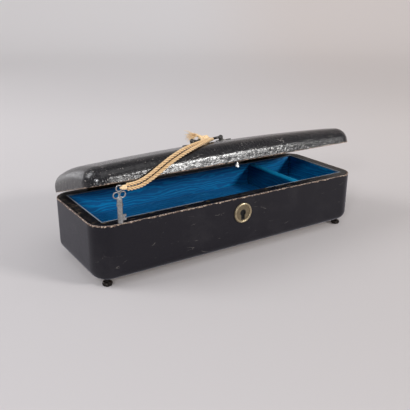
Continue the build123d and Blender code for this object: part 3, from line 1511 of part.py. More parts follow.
# Governor: a wheel with its pinion, and the fan with its pinion and brake drum
half_tooth_angle = 180 / train_pinion_teeth
governor_pinion = spur_wheel(
    train_place(cylinder_wheel_x, train_distance), train_pinion_teeth, train_wheel_width, half_tooth_angle
)
governor_rim = spur_wheel(
    train_place(governor_wheel_x, train_distance), train_wheel_teeth, train_wheel_width, 0
)
with BuildPart() as governor_wheel:
    add(governor_pinion)
    add(governor_rim)
    with BuildSketch(train_place(cylinder_wheel_x, train_distance)):
        Circle(train_arbor_radius)
    extrude(amount=right_lug_x + lug_thickness - cylinder_wheel_x)
save(governor_wheel, "governor_wheel")

fan_pinion = spur_wheel(
    train_place(governor_wheel_x, fan_y), train_pinion_teeth, train_wheel_width, half_tooth_angle
)
with BuildPart() as fan:
    add(fan_pinion)
    with BuildSketch(train_place(middle_lug_x, fan_y)):
        Circle(train_arbor_radius)
    extrude(amount=right_lug_x + lug_thickness - middle_lug_x)
    with BuildSketch(train_place(brake_low_x, fan_y)):
        Circle(brake_radius)
    extrude(amount=brake_width)
    with BuildSketch(train_place(fan_low_x, fan_y)):
        Rectangle(fan_blade_thickness, 2 * fan_reach)
        Circle(train_arbor_radius + fan_hub_wall)
    extrude(amount=fan_width)
save(fan, "fan")

# Comb: steel teeth beside the pinned cylinder
with BuildPart() as comb:
    with BuildSketch(Plane.XY.offset(comb_low_z)):
        with Locations((comb_centre_x, (comb_root_y + comb_rear_y) / 2)):
            Rectangle(comb_length, comb_heel_width)
        with Locations((comb_centre_x, (comb_tip_y + comb_root_y) / 2 - comb_heel_seat)):
            with GridLocations(comb_pitch, 1, comb_teeth, 1):
                Rectangle(comb_pitch * comb_tooth_share, comb_tooth_length + 2 * comb_heel_seat)
    extrude(amount=comb_thickness)
    with Locations(*[(x, y, comb_low_z + comb_thickness) for x, y in comb_screw_spots]):
        CounterSinkHole(screw_radius + running_gap, screw_head_radius + running_gap)
save(comb, "comb")

# Stop slide: a finger beside the brake drum, moved by a pin that reaches out under the base
stop_plate_low_z = bedplate_top_z + recess_gap
finger_y = fan_y + brake_radius + 3 * recess_gap + stop_travel
knob_low_z = foot_height - stop_knob_drop
with BuildPart() as stop_slide:
    with BuildSketch(Plane.XY.offset(stop_plate_low_z)):
        with Locations((stop_x, finger_y + stop_finger_thickness)):
            Rectangle(2 * (right_lug_x - 3 * recess_gap - stop_x), stop_plate_width)
    extrude(amount=stop_plate_thickness)
    with BuildSketch(Plane.XY.offset(stop_plate_low_z)):
        with Locations((brake_low_x + brake_width / 2, finger_y + stop_finger_thickness / 2)):
            Rectangle(brake_width + 2 * recess_gap, stop_finger_thickness)
    extrude(amount=train_z + stop_finger_thickness - stop_plate_low_z)
    with Locations((stop_x, stop_y, knob_low_z)):
        Cylinder(
            stop_pin_radius,
            stop_plate_low_z + stop_plate_thickness / 2 - knob_low_z,
            align=(Align.CENTER, Align.CENTER, Align.MIN),
        )
        Cylinder(stop_knob_radius, stop_knob_height, align=(Align.CENTER, Align.CENTER, Align.MIN))
save(stop_slide, "stop_slide")

movement_screws = wood_screws(
    [Vector(x, y, bedplate_top_z) for x, y in bedplate_screw_spots]
    + [Vector(barrel_x, sy * pillar_y, bridge_low_z + bridge_thickness) for sy in (-1, 1)]
    + [Vector(x, y, comb_low_z + comb_thickness) for x, y in comb_screw_spots],
    (0, 0, -1),
    movement_screw_length,
)
save(movement_screws, "movement_screws")
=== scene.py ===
import bmesh
import bpy
import math
import numpy as np
from mathutils import Matrix, Vector


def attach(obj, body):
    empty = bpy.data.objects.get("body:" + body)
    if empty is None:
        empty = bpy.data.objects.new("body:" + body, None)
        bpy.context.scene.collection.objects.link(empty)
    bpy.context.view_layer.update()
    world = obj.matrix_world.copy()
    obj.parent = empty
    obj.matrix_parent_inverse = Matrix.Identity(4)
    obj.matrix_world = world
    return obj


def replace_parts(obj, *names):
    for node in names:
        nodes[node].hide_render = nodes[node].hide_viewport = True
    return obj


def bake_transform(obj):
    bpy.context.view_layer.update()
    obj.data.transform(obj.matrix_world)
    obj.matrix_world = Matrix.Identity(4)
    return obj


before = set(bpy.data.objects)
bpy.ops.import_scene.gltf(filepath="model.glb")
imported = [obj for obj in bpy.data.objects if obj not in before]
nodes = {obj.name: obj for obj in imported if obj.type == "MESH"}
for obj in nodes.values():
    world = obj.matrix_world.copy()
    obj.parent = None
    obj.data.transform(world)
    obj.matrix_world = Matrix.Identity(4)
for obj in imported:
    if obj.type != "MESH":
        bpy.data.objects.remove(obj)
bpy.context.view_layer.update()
mm = 0.001
fullTurn = 2 * math.pi
print("stage: frame loaded with", len(nodes), "nodes")

# sizes shared by several pieces, in millimetres and degrees
box = {
    "halfLength": 140.0,
    "halfDepth": 49.0,
    "cornerRadius": 16.0,
    "rimHeight": 55.0,
    "caseLow": 6.0,
    "baseRound": 9.0,
    "leather": 1.0,
    "openAngle": 18.5,
    "hingeY": 50.2,
    "hingeZ": 55.2,
    "lidLift": 0.2,
    "lidHeight": 21.7,
    "lidShoulder": 12.5,
    "crownAcross": 259.0,
    "crownAlong": 2450.0,
    "ridgeHalf": 90.0,
    "notchX": 90.0,
    "notchHalf": 16.1,
    "notchDepth": 1.6,
    "outlineStep": 2.5,
    "cornerSteps": 20,
}


# the lid's own frame: x along it, y to the rear, z up from its lower face
# place in the world = the frame's origin + the place turned back by the open angle
def lidToWorld(points):
    points = np.asarray(points, float)
    tip = math.radians(box["openAngle"])
    originY = box["hingeY"] - box["hingeY"] * math.cos(tip) + box["lidLift"] * math.sin(tip)
    originZ = box["hingeZ"] + box["hingeY"] * math.sin(tip) + box["lidLift"] * math.cos(tip)
    x, y, z = points[..., 0], points[..., 1], points[..., 2]
    return np.stack([
        x,
        originY + y * math.cos(tip) + z * math.sin(tip),
        originZ - y * math.sin(tip) + z * math.cos(tip),
    ], -1)


# a node's output that can be added, multiplied and so on like a number
class Signal:
    def __init__(self, finish, port):
        self.finish, self.port = finish, port

    def calc(self, operation, *parts):
        return self.finish.node("ShaderNodeMath", {"operation": operation}, dict(enumerate(parts)))

    def __add__(self, other):
        return self.calc("ADD", self, other)

    def __radd__(self, other):
        return self.calc("ADD", other, self)

    def __sub__(self, other):
        return self.calc("SUBTRACT", self, other)

    def __rsub__(self, other):
        return self.calc("SUBTRACT", other, self)

    def __mul__(self, other):
        return self.calc("MULTIPLY", self, other)

    def __rmul__(self, other):
        return self.calc("MULTIPLY", other, self)

    def __abs__(self):
        return self.calc("ABSOLUTE", self)

    def root(self):
        return self.calc("SQRT", self)

    def least(self, other):
        return self.calc("MINIMUM", self, other)

    # a sine wave of this phase, between 0 and 1
    def wave(self):
        return (self.calc("SINE", self) + 1.0) * 0.5

    # from 0 at low to 1 at high, smoothly
    def rise(self, low, high):
        ends = {"Value": self, "From Min": low, "From Max": high}
        return self.finish.node("ShaderNodeMapRange", {"interpolation_type": "SMOOTHSTEP"}, ends)

    # from 1 at low to 0 at high
    def fall(self, low, high):
        return 1.0 - self.rise(low, high)


# one procedural material: a principled surface and the nodes that feed it
class Finish:
    def __init__(self, name, color, roughness, metallic=0.0, constants=None):
        self.material = bpy.data.materials.new(name)
        self.material.use_nodes = True
        self.material.diffuse_color = (*color, 1.0)
        self.tree = self.material.node_tree
        self.surface = self.tree.nodes["Principled BSDF"]
        plain = {"Base Color": (*color, 1.0), "Roughness": roughness, "Metallic": metallic}
        for key, value in {**plain, **(constants or {})}.items():
            self.surface.inputs[key].default_value = value

    # any node: its type, its settings, the values or links of its sockets, and the output that is wanted
    def node(self, kind, settings, inputs, out=0):
        made = self.tree.nodes.new(kind)
        for key, value in settings.items():
            setattr(made, key, value)
        for key, value in inputs.items():
            if isinstance(value, Signal):
                self.tree.links.new(value.port, made.inputs[key])
            else:
                made.inputs[key].default_value = value
        return Signal(self, made.outputs[out])

    # what is stored in an attribute of the mesh, in millimetres
    def stored(self, attribute):
        source = self.node("ShaderNodeAttribute", {"attribute_name": attribute}, {}, "Vector")
        return self.node("ShaderNodeVectorMath", {"operation": "SCALE"}, {0: source, "Scale": 1000.0})

    # the place on the object, in millimetres
    def coords(self):
        source = self.node("ShaderNodeTexCoord", {}, {}, "Object")
        return self.node("ShaderNodeVectorMath", {"operation": "SCALE"}, {0: source, "Scale": 1000.0})

    def stretch(self, vector, scale):
        return self.node("ShaderNodeVectorMath", {"operation": "MULTIPLY"}, {0: vector, 1: scale})

    def part(self, vector, name):
        return self.node("ShaderNodeSeparateXYZ", {}, {"Vector": vector}, name)

    def noise(self, vector, scale, detail, roughness=0.55, distortion=0.0):
        return self.node("ShaderNodeTexNoise", {}, {
            "Vector": vector, "Scale": scale, "Detail": detail,
            "Roughness": roughness, "Distortion": distortion,
        }, "Fac")

    def cells(self, vector, scale, feature="DISTANCE_TO_EDGE"):
        inputs = {"Vector": vector, "Scale": scale}
        return self.node("ShaderNodeTexVoronoi", {"feature": feature}, inputs, "Distance")

    # a colour between low and high
    def blend(self, factor, low, high):
        low, high = (v if isinstance(v, Signal) else (*v, 1.0) for v in (low, high))
        return self.node("ShaderNodeMix", {"data_type": "RGBA"}, {0: factor, 6: low, 7: high}, 2)

    def feed(self, name, signal):
        self.tree.links.new(signal.port, self.surface.inputs[name])

    # what feeds one of the surface's sockets so far
    def source(self, name):
        return Signal(self, self.surface.inputs[name].links[0].from_socket)

    def relief(self, height, distance):
        self.feed("Normal", self.node("ShaderNodeBump", {}, {"Height": height, "Distance": distance * mm}))


# faces between rows of points; rows may close on themselves, and the last row may join the first
def gridFaces(rowCount, rowLength, closeRow=True, closeGrid=False, start=0):
    index = start + np.arange(rowCount * rowLength).reshape(rowCount, rowLength)
    if closeRow:
        index = np.concatenate([index, index[:, :1]], 1)
    if closeGrid:
        index = np.concatenate([index, index[:1]], 0)
    return np.stack([index[:-1, :-1], index[:-1, 1:], index[1:, 1:], index[1:, :-1]], -1).reshape(-1, 4)


# doubles merged, then all faces turned outward, by the sign of the closed mesh's volume
def fixNormals(made):
    work = bmesh.new()
    work.from_mesh(made.data)
    bmesh.ops.remove_doubles(work, verts=work.verts, dist=1e-7)
    bmesh.ops.recalc_face_normals(work, faces=work.faces)
    if work.calc_volume(signed=True) < 0:
        bmesh.ops.reverse_faces(work, faces=work.faces)
    work.to_mesh(made.data)
    work.free()


# a piece from points in millimetres; stored has vectors for the finish, also in millimetres
def makeObject(name, points, faces, finish, body, stored=None):
    mesh = bpy.data.meshes.new(name)
    points = np.asarray(points, float).reshape(-1, 3)
    mesh.from_pydata((points * mm).tolist(), [], [list(map(int, f)) for f in faces])
    mesh.validate()
    for key, values in (stored or {}).items():
        layer = mesh.attributes.new(key, "FLOAT_VECTOR", "POINT")
        layer.data.foreach_set("vector", (np.asarray(values, float) * mm).astype(np.float32).ravel())
    mesh.polygons.foreach_set("use_smooth", np.full(len(mesh.polygons), True))
    made = bpy.data.objects.new(name, mesh)
    bpy.context.scene.collection.objects.link(made)
    made.data.materials.append(finish.material)
    fixNormals(made)
    if body:  # a strand is made without a body
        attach(made, body)
    return made


# outline of the box seen from above: points and outward normals, counter-clockwise
# corner = middle of its arc + radius x (cosine, sine), and a straight run goes on from its end
def boxOutline():
    radius = box["cornerRadius"]
    spanX, spanY = box["halfLength"] - radius, box["halfDepth"] - radius
    points, normals = [], []
    for turn, middle, length in (
        (0, (spanX, spanY), 2 * spanX), (90, (-spanX, spanY), 2 * spanY),
        (180, (-spanX, -spanY), 2 * spanX), (270, (spanX, -spanY), 2 * spanY),
    ):
        angles = np.radians(turn + np.linspace(0, 90, box["cornerSteps"] + 1))
        arc = np.stack([np.cos(angles), np.sin(angles)], 1)
        last = arc[-1]
        ahead = np.array([-last[1], last[0]])
        count = int(length / box["outlineStep"])
        shares = (np.arange(1, count) / count)[:, None]
        points += [middle + radius * arc, middle + radius * last + ahead * shares * length]
        normals += [arc, np.repeat([last], count - 1, 0)]
    return np.concatenate(points), np.concatenate(normals)


# where the hinge leaves are let into the rear edge
def hingeNotches(outline, normals):
    return (normals[:, 1] > 0.99) & (np.abs(np.abs(outline[:, 0]) - box["notchX"]) < box["notchHalf"])


# leather of both shells; chipsFrom and wornFrom are where chips and wear start, and where they are full
leatherLook = {
    "scuffColor": (0.030, 0.027, 0.031),
    "wornColor": (0.58, 0.46, 0.36),
    "rubbedColor": (0.16, 0.10, 0.075),
    "scratchColor": (0.55, 0.50, 0.46),
    "grainSize": 2.1,
    "lid": {
        "color": (0.004, 0.0035, 0.005), "roughness": 0.15, "gloss": 0.52, "sheen": 0.0, "relief": 0.060,
        "dents": 9.0, "swells": 4.5, "scratches": 0.85, "chips": 0.75, "chipsFrom": (0.645, 0.675),
        "wornFrom": (0.70, 0.84), "cracks": 0.9, "smooth": 0.42, "crackle": 4.6,
    },
    "case": {
        "color": (0.0045, 0.0036, 0.0075), "roughness": 0.40, "gloss": 0.28, "sheen": 0.32, "relief": 0.040,
        "dents": 4.0, "swells": 0.9, "scratches": 0.28, "chips": 0.22, "chipsFrom": (0.70, 0.735),
        "wornFrom": (0.64, 0.78), "keyholeZ": 38.5,
    },
}


def leatherFinish(name, shell):
    look, isLid = leatherLook[shell], shell == "lid"
    finish = Finish(name, look["color"], look["roughness"], constants={
        "Specular IOR Level": look["gloss"], "Sheen Weight": look["sheen"],
        "Sheen Roughness": 0.30, "Sheen Tint": (0.85, 0.85, 1.0, 1.0),
    })
    place = finish.stored("localPlace")
    x, z = finish.part(place, "X"), finish.part(place, "Z")
    stir = finish.node("ShaderNodeTexNoise", {}, {"Vector": place, "Scale": 0.35, "Detail": 2.0}, "Color")
    warped = finish.node("ShaderNodeVectorMath", {"operation": "ADD"}, {0: place, 1: stir})
    # grain, and the swells and dents of the board below it
    creases = finish.cells(warped, 1.0 / leatherLook["grainSize"]).rise(0.0, 0.16)
    pebbles = finish.cells(warped, 1.9 / leatherLook["grainSize"]).rise(0.0, 0.3)
    swells = finish.noise(place, 0.22, 3.0, 0.6)
    fine = finish.noise(place, 3.5, 2.0)
    height = creases * 0.45 + pebbles * 0.2 + fine * 0.10
    if isLid:  # smoother than the case, cracked, and coarser again towards the right end
        coarse = x.rise(-20.0, 80.0)
        crackle = finish.cells(warped, 0.36, "F1") * coarse * look["crackle"]
        cracks = finish.cells(finish.stretch(warped, (1.0, 0.55, 0.55)), 0.30).rise(0.0, 0.035)
        height = height * (coarse * 0.9 + look["smooth"]) + crackle + cracks * look["cracks"]
    height = height + finish.noise(place, 0.045, 2.0) * look["dents"] + swells * look["swells"]
    finish.relief(height, look["relief"])
    # scuffs, scratches and chips
    patches = finish.noise(place, 0.03, 5.0, 0.65).rise(0.5, 0.72)
    rub = finish.noise(finish.stretch(place, (0.35, 1.0, 1.0)), 0.6, 6.0, 0.7).rise(0.62, 0.74) * patches
    scratchLines = finish.cells(finish.stretch(warped, (0.10, 1.0, 0.6)), 0.16).fall(0.0, 0.010)
    scratches = scratchLines * finish.noise(place, 0.09, 3.0).rise(0.61, 0.69) * look["scratches"]
    gathered = finish.noise(place, 0.05, 2.0)
    if isLid:  # more chips towards the lid's left end
        gathered = gathered + x.fall(-120.0, 60.0) * 0.09
    chips = finish.noise(place, 0.62, 4.0, 0.6).rise(*look["chipsFrom"]) * gathered.rise(0.5, 0.62)
    # wear along the edges, ragged, and bare in places
    edgeWear = finish.part(finish.stored("wear"), "X")
    ragged = edgeWear + (finish.noise(place, 0.5, 5.0, 0.7) - 0.5) * 1.3
    ragged = ragged + (finish.noise(place, 0.16, 2.0) - 0.5) * 1.1
    worn = ragged.rise(*look["wornFrom"])
    bare = worn * finish.noise(place, 0.7, 4.0, 0.7).rise(0.47, 0.59)
    tone = finish.blend(patches * 0.28 + (1.0 - creases) * 0.08, look["color"], leatherLook["scuffColor"])
    tone = finish.blend(rub * 0.40, tone, leatherLook["scuffColor"])
    tone = finish.blend((scratches + chips * look["chips"]).least(0.85), tone, leatherLook["scratchColor"])
    tone = finish.blend(worn * 0.75, tone, leatherLook["rubbedColor"])
    tone = finish.blend(bare * 0.9, tone, leatherLook["wornColor"])
    rough = patches * 0.08 + (1.0 - creases) * 0.06 + fine * 0.04 + worn * 0.35 + scratches * 0.2
    if isLid:  # dulled by handling along the lower edge
        rough = rough + (z + (swells - 0.5) * 3.0).fall(1.2, 3.4) * 0.06
    else:  # dull where the case rounds under, and painted black shade behind the escutcheon's keyhole
        rough = rough + z.fall(7.0, 15.0) * 0.35
        up = z - look["keyholeZ"]
        # painted shade: a black disc standing in for the dark hole behind the escutcheon
        keyholeShade = (x * x + up * up).fall(40.0, 44.0) * finish.part(place, "Y").fall(-46.0, -44.0)
        tone = finish.blend(keyholeShade, tone, (0.0, 0.0, 0.0))
    finish.feed("Base Color", tone)
    finish.feed("Roughness", (rough + look["roughness"]).least(0.9))
    return finish


# leather of the lid: rings run round the outline; each ring has an inset from it and a height
# height of the crown = lid height - y squared / (2 x crown across) - x squared / (2 x crown along);
# the shoulder is the arc of a ball of radius r that touches the wall and the sloping crown:
# inset = r x (1 - cosine of turn), height = ball's centre + r x sine of turn, up to 90 degrees less the slope
lidForm = {"wallRings": 8, "shoulderRings": 22, "crownRings": 26, "wornHeight": 2.2}


def crownHeight(at, inset):
    across, along = at[:, 1] ** 2 / (2 * box["crownAcross"]), at[:, 0] ** 2 / (2 * box["crownAlong"])
    return box["lidHeight"] - inset - across - along


def lidRings(inset):
    outline, normals = boxOutline()
    shoulder = box["lidShoulder"] - inset
    edge = outline - normals * inset
    inward = edge - normals * shoulder
    steep = inward / (box["crownAlong"], box["crownAcross"]) * normals
    slope = np.arctan(steep[:, 0] + steep[:, 1])
    centre = crownHeight(inward, inset) - shoulder / np.cos(slope)
    low = np.where(hingeNotches(outline, normals), box["notchDepth"], 0.0)
    wallShares = np.linspace(0, 1, lidForm["wallRings"])
    rings = [np.column_stack([edge, low + (centre - low) * share]) for share in wallShares]
    for share in np.linspace(0, 1, lidForm["shoulderRings"])[1:]:
        turn = share * (math.pi / 2 - slope)
        at = edge - normals * (shoulder * (1 - np.cos(turn)))[:, None]
        rings.append(np.column_stack([at, centre + shoulder * np.sin(turn)]))
    ridge = np.column_stack([np.clip(at[:, 0], -box["ridgeHalf"], box["ridgeHalf"]), np.zeros(len(at))])
    for share in np.linspace(0, 1, lidForm["crownRings"])[1:]:
        within = at * (1 - share) + ridge * share
        rings.append(np.column_stack([within, crownHeight(within, inset)]))
    return np.array(rings)


# wear goes into the first part of a stored vector
def wearVectors(wear):
    return np.column_stack([wear, np.zeros((len(wear), 2))])


def lidLeather():
    outer, inner = lidRings(0.0), lidRings(box["leather"])
    rows, count = outer.shape[:2]
    local = np.concatenate([outer, inner]).reshape(-1, 3)
    first = np.arange(count)
    second = rows * count + first
    rimFaces = np.stack([first, np.roll(first, -1), np.roll(second, -1), second], -1)
    faces = np.concatenate([gridFaces(rows, count), gridFaces(rows, count, start=rows * count), rimFaces])
    wear = np.clip(1.0 - local[:, 2] / lidForm["wornHeight"], 0, 1)  # along the lower edge
    return makeObject(
        "lidLeather", lidToWorld(local), faces,
        leatherFinish("lidLeatherFinish", "lid"), "lid",
        stored={"localPlace": local, "wear": wearVectors(wear)},
    )


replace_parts(lidLeather(), "lid_leather")

# leather of the case: a closed profile of insets and heights, carried round the outline
# round of the base: inset = r x (1 - cosine of turn), height = r x (1 - sine of turn), up to its turned edge
# wear = 1 at the rim and less at the base, down to 0 over its reach, which is longer at the rim's corners
caseForm = {
    "turnIn": 5.8, "roundSteps": 14, "wallSteps": 22, "wallTop": 0.6, "rimEase": 0.25,
    "rimWear": 2.2, "cornerWear": 1.4, "cornerX": 118.0, "cornerY": 28.0, "cornerReach": 14.0,
    "baseWear": 3.0, "baseWearShare": 0.45,
}


# part of a quarter round, as rows of inset and height
def roundRows(radius, turns, inset, low):
    return np.column_stack([inset + radius * (1 - np.cos(turns)), low + radius * (1 - np.sin(turns))])


def caseProfile():
    form, leather, low, high = caseForm, box["leather"], box["caseLow"], box["rimHeight"]
    outer, inner = box["baseRound"], box["baseRound"] - leather
    outerTurn = math.acos(1 - form["turnIn"] / outer)
    innerTurn = math.acos(1 - (form["turnIn"] - leather) / inner)
    wall = np.linspace(high - form["wallTop"], low + outer, form["wallSteps"])
    return np.concatenate([
        [(leather, high), (form["rimEase"], high), (0.0, high - form["rimEase"])],
        np.column_stack([np.zeros(len(wall)), wall]),
        roundRows(outer, np.linspace(0, outerTurn, form["roundSteps"])[1:], 0.0, low),
        roundRows(inner, np.linspace(innerTurn, 0, form["roundSteps"]), leather, low + leather),
    ])


def caseLeather():
    form = caseForm
    outline, normals = boxOutline()
    insets, heights = caseProfile().T[:, :, None]
    notchTop = box["rimHeight"] - box["notchDepth"]
    z = np.where(hingeNotches(outline, normals) & (heights > notchTop), notchTop, heights)
    points = np.concatenate([outline - normals * insets[..., None], z[..., None]], -1).reshape(-1, 3)
    x, y, z = np.abs(points).T
    corner = (
        np.clip((x - form["cornerX"]) / form["cornerReach"], 0, 1)
        * np.clip((y - form["cornerY"]) / form["cornerReach"], 0, 1)
    )
    rimReach = form["rimWear"] + corner * form["cornerWear"]
    wear = np.maximum(
        np.clip(1.0 - (box["rimHeight"] - z) / rimReach, 0, 1),
        np.clip(1.0 - (z - box["caseLow"]) / form["baseWear"], 0, 1) * form["baseWearShare"],
    )
    return makeObject(
        "caseLeather", points, gridFaces(len(insets), len(outline), closeGrid=True),
        leatherFinish("caseLeatherFinish", "case"), "case",
        stored={"localPlace": points, "wear": wearVectors(wear)},
    )


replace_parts(caseLeather(), "case_leather")
print("stage: leather")

# watered silk: fine ribs and long wavering bands, in millimetres
silkLook = {
    "deepColor": (0.0010, 0.105, 0.300),
    "brightColor": (0.003, 0.260, 0.570),
    "shadeColor": (0.0006, 0.030, 0.085),
    "litColor": (0.006, 0.330, 0.600),
    "bandSize": 3.1,
    "ribSize": 0.42,
    "threadSize": 0.3,
    "waver": 31.0,
    "partitionTop": (51.8, 53.2),
}


def silkFinish(name, litTop=None):
    finish = Finish(name, silkLook["brightColor"], 0.42, constants={
        "Sheen Weight": 0.12, "Sheen Roughness": 0.4, "Sheen Tint": (0.10, 0.45, 0.85, 1.0),
        "Specular IOR Level": 0.22,
    })
    place = finish.stored("localPlace")
    across = finish.part(place, "Y") + finish.part(place, "Z")
    drift = finish.noise(finish.stretch(place, (0.022, 0.09, 0.09)), 1.0, 3.0, 0.5)
    stir = finish.noise(finish.stretch(place, (0.10, 0.5, 0.5)), 1.0, 2.0, 0.5)
    bands = (across * (fullTurn / silkLook["bandSize"]) + drift * silkLook["waver"] + stir * 5.0).wave()
    broad = finish.noise(finish.stretch(place, (0.02, 0.2, 0.2)), 1.0, 2.0).rise(0.35, 0.65)
    water = (bands.rise(0.25, 0.95) * (broad * 0.55 + 0.45)).least(1.0)
    soft = finish.noise(place, 0.05, 3.0)
    tone = finish.blend(water * 0.75 + soft * 0.15, silkLook["deepColor"], silkLook["brightColor"])
    if litTop:  # painted shade over the sides and a painted lit strip along the top
        sides = finish.blend(0.72, tone, silkLook["shadeColor"])
        tone = finish.blend(finish.part(finish.coords(), "Z").rise(*litTop), sides, silkLook["litColor"])
    finish.feed("Base Color", tone)
    finish.feed("Roughness", 0.50 - water * 0.20 + soft * 0.05)
    ribs = (across * (fullTurn / silkLook["ribSize"])).wave()
    threads = (finish.part(place, "X") * (fullTurn / silkLook["threadSize"])).wave()
    height = ribs * 0.4 + bands * 0.30 + threads * 0.1 + finish.noise(place, 0.09, 2.0) * 4.0
    finish.relief(height, 0.05)
    return finish


silk = silkFinish("silkFinish")
# the partition's silk: painted shade on its sides and painted light on its top
partitionShadedSilk = silkFinish("partitionShadedSilkFinish", silkLook["partitionTop"])
print("stage: silk finish")

# padded panels, in millimetres; middle is where the middle of a panel's flat back lies
padLook = {
    "floorPad": {
        "size": (199.4, 75.4), "middle": (-28.5, 0.0, 31.8),
        "edge": 1.4, "crown": 0.8, "pucker": 0.12, "fill": 0.6,
    },
    "smallFloorPad": {
        "size": (47.2, 75.4), "middle": (104.9, 0.0, 14.0),
        "edge": 1.4, "crown": 0.7, "pucker": 0.12, "fill": 0.6,
    },
    "lidPad": {
        "size": (257.2, 75.2), "middle": (0.0, 0.0, 13.0),
        "edge": 2.6, "crown": 2.3, "pucker": 0.16, "fill": 0.5,
    },
    "liningRear": {
        "size": (260.2, 40.1), "middle": (0.0, 39.2, 34.15),
        "edge": 0.9, "crown": 0.25, "pucker": 0.03, "fill": 0.3,
    },
}
padForm = {"step": 2.2, "fewestU": 24, "fewestV": 12, "puckerFade": 4.0, "puckerRise": 1.5, "thinnest": 0.02}


# places from -1 to 1, closer together towards both ends
def easedPlaces(count):
    even = np.linspace(-1, 1, count)
    return np.sin(even * math.pi / 2) * 0.35 + even * 0.65


# a padded panel: a closed box grid whose front swells by crown and rounds off at its edges
# front = edge x root of (1 - (1 - distance in from the rim / 1.2 edges) squared)
# + crown x (1 - |u| to the 4th) x (1 - |v| to the 4th) + sine ripples that fade from the rim, and waves
def paddedPanel(name, body, node, place, turned=False):
    look, form = padLook[name], padForm
    length, width = look["size"]
    edge, pucker = look["edge"], look["pucker"]
    stepsU = max(form["fewestU"], int(length / form["step"]))
    stepsV = max(form["fewestV"], int(width / form["step"]))
    u, v = np.meshgrid(easedPlaces(stepsU), easedPlaces(stepsV), indexing="ij")
    x, y = u * length / 2, v * width / 2
    swell = look["crown"] * (1 - np.abs(u) ** 4) * (1 - np.abs(v) ** 4)
    near = np.minimum(length / 2 - np.abs(x), width / 2 - np.abs(y))
    rounded = edge * np.sqrt(np.clip(1 - (1 - np.clip(near / (edge * 1.2), 0, 1)) ** 2, 0, 1))
    ripples = np.sin(x * 1.9 + np.sin(y * 0.7)) + np.sin(y * 2.3 + np.sin(x * 0.5))
    waves = pucker * 0.5 * np.sin(x * 0.11 + 1.3 * np.sin(y * 0.08)) * np.sin(y * 0.17 + 0.4)
    puckers = pucker * np.exp(-near / form["puckerFade"]) * ripples + waves
    puckers = puckers * np.clip(near / form["puckerRise"], 0, 1)
    front = np.stack([x, y, np.maximum(rounded + swell + puckers, form["thinnest"])], -1)
    back = np.stack([x, y, np.zeros_like(x)], -1)
    count = stepsU * stepsV
    index = np.arange(count).reshape(stepsU, stepsV)
    quads = np.stack([index[:-1, :-1], index[1:, :-1], index[1:, 1:], index[:-1, 1:]], -1).reshape(-1, 4)
    rim = np.concatenate([index[:, 0], index[-1, 1:], index[-2::-1, -1], index[0, -2:0:-1]])
    ahead = np.roll(rim, -1)
    sides = np.stack([rim, ahead, ahead + count, rim + count], -1)
    local = np.concatenate([front, back]).reshape(-1, 3)
    faces = np.concatenate([quads, quads + count, sides])
    stored = {"localPlace": local[:, [1, 0, 2]] if turned else local}  # turned: bands run along the depth
    made = makeObject(name, place(local, look["middle"]), faces, silk, body, stored)
    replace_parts(made, node)


def onFloor(points, middle):
    return points + middle


def underLid(points, middle):
    return lidToWorld(middle + points * (1, -1, -1))


def onRearWall(points, middle):
    return middle + points[:, [0, 2, 1]] * (1, -1, 1)


paddedPanel("floorPad", "case", "floor_pad", onFloor)
paddedPanel("smallFloorPad", "case", "small_floor_pad", onFloor, turned=True)
paddedPanel("lidPad", "lid", "lid_pad", underLid)
paddedPanel("liningRear", "case", "lining_rear", onRearWall)
print("stage: silk pads")


def distanceAlong(path):
    return np.concatenate([[0], np.cumsum(np.linalg.norm(np.diff(path, axis=0), axis=1))])


# a tube along a path: point at angle a = path + radius x share x (side x cosine a + up x sine a),
# where section gives the share at an angle and a distance along the path
def tubeMesh(path, radius, sides=10, section=None):
    path = np.asarray(path, float)
    ahead = np.gradient(path, axis=0)
    ahead /= np.linalg.norm(ahead, axis=1)[:, None]
    side = np.zeros_like(path)
    start = np.cross(ahead[0], [0.0, 0.0, 1.0])
    if np.linalg.norm(start) < 0.1:
        start = np.cross(ahead[0], [1.0, 0.0, 0.0])
    side[0] = start / np.linalg.norm(start)
    for i in range(1, len(path)):  # carried along without turning about the path
        s = side[i - 1] - ahead[i] * (side[i - 1] @ ahead[i])
        side[i] = s / np.linalg.norm(s)
    up = np.cross(ahead, side)
    angle = np.linspace(0, fullTurn, sides, endpoint=False)
    share = section(angle[None, :], distanceAlong(path)[:, None]) if section else 1.0
    reach = radius * share * np.ones((len(path), sides))
    points = path[:, None] + side[:, None] * (reach * np.cos(angle))[..., None]
    points = points + up[:, None] * (reach * np.sin(angle))[..., None]
    points = np.concatenate([points.reshape(-1, 3), path[:1], path[-1:]])
    first, last = len(points) - 2, len(points) - 1
    ring = np.arange(sides)
    lastRing = (len(path) - 1) * sides + ring
    caps = [[int(a), int(b), first] for a, b in zip(np.roll(ring, -1), ring)]
    caps += [[int(a), int(b), last] for a, b in zip(lastRing, np.roll(lastRing, -1))]
    return points, [list(f) for f in gridFaces(len(path), sides)] + caps


def joinMeshes(parts):
    points, faces, start = [], [], 0
    for p, f in parts:
        points.append(p)
        faces.extend([[i + start for i in face] for face in f])
        start += len(p)
    return np.concatenate(points), faces


# gold cord: two strands of twisted thread
cordLook = {
    "color": (0.84, 0.50, 0.20),
    "darkColor": (0.36, 0.17, 0.055),
    "lightColor": (1.0, 0.78, 0.46),
    "valleyShadeColor": (0.20, 0.085, 0.025),
    "frayColor": (0.90, 0.63, 0.32),
    "paleColor": (1.0, 0.84, 0.58),
    "radius": 1.5,
    "plies": 3,
    "valley": 0.56,
    "turnLength": 9.6,
}


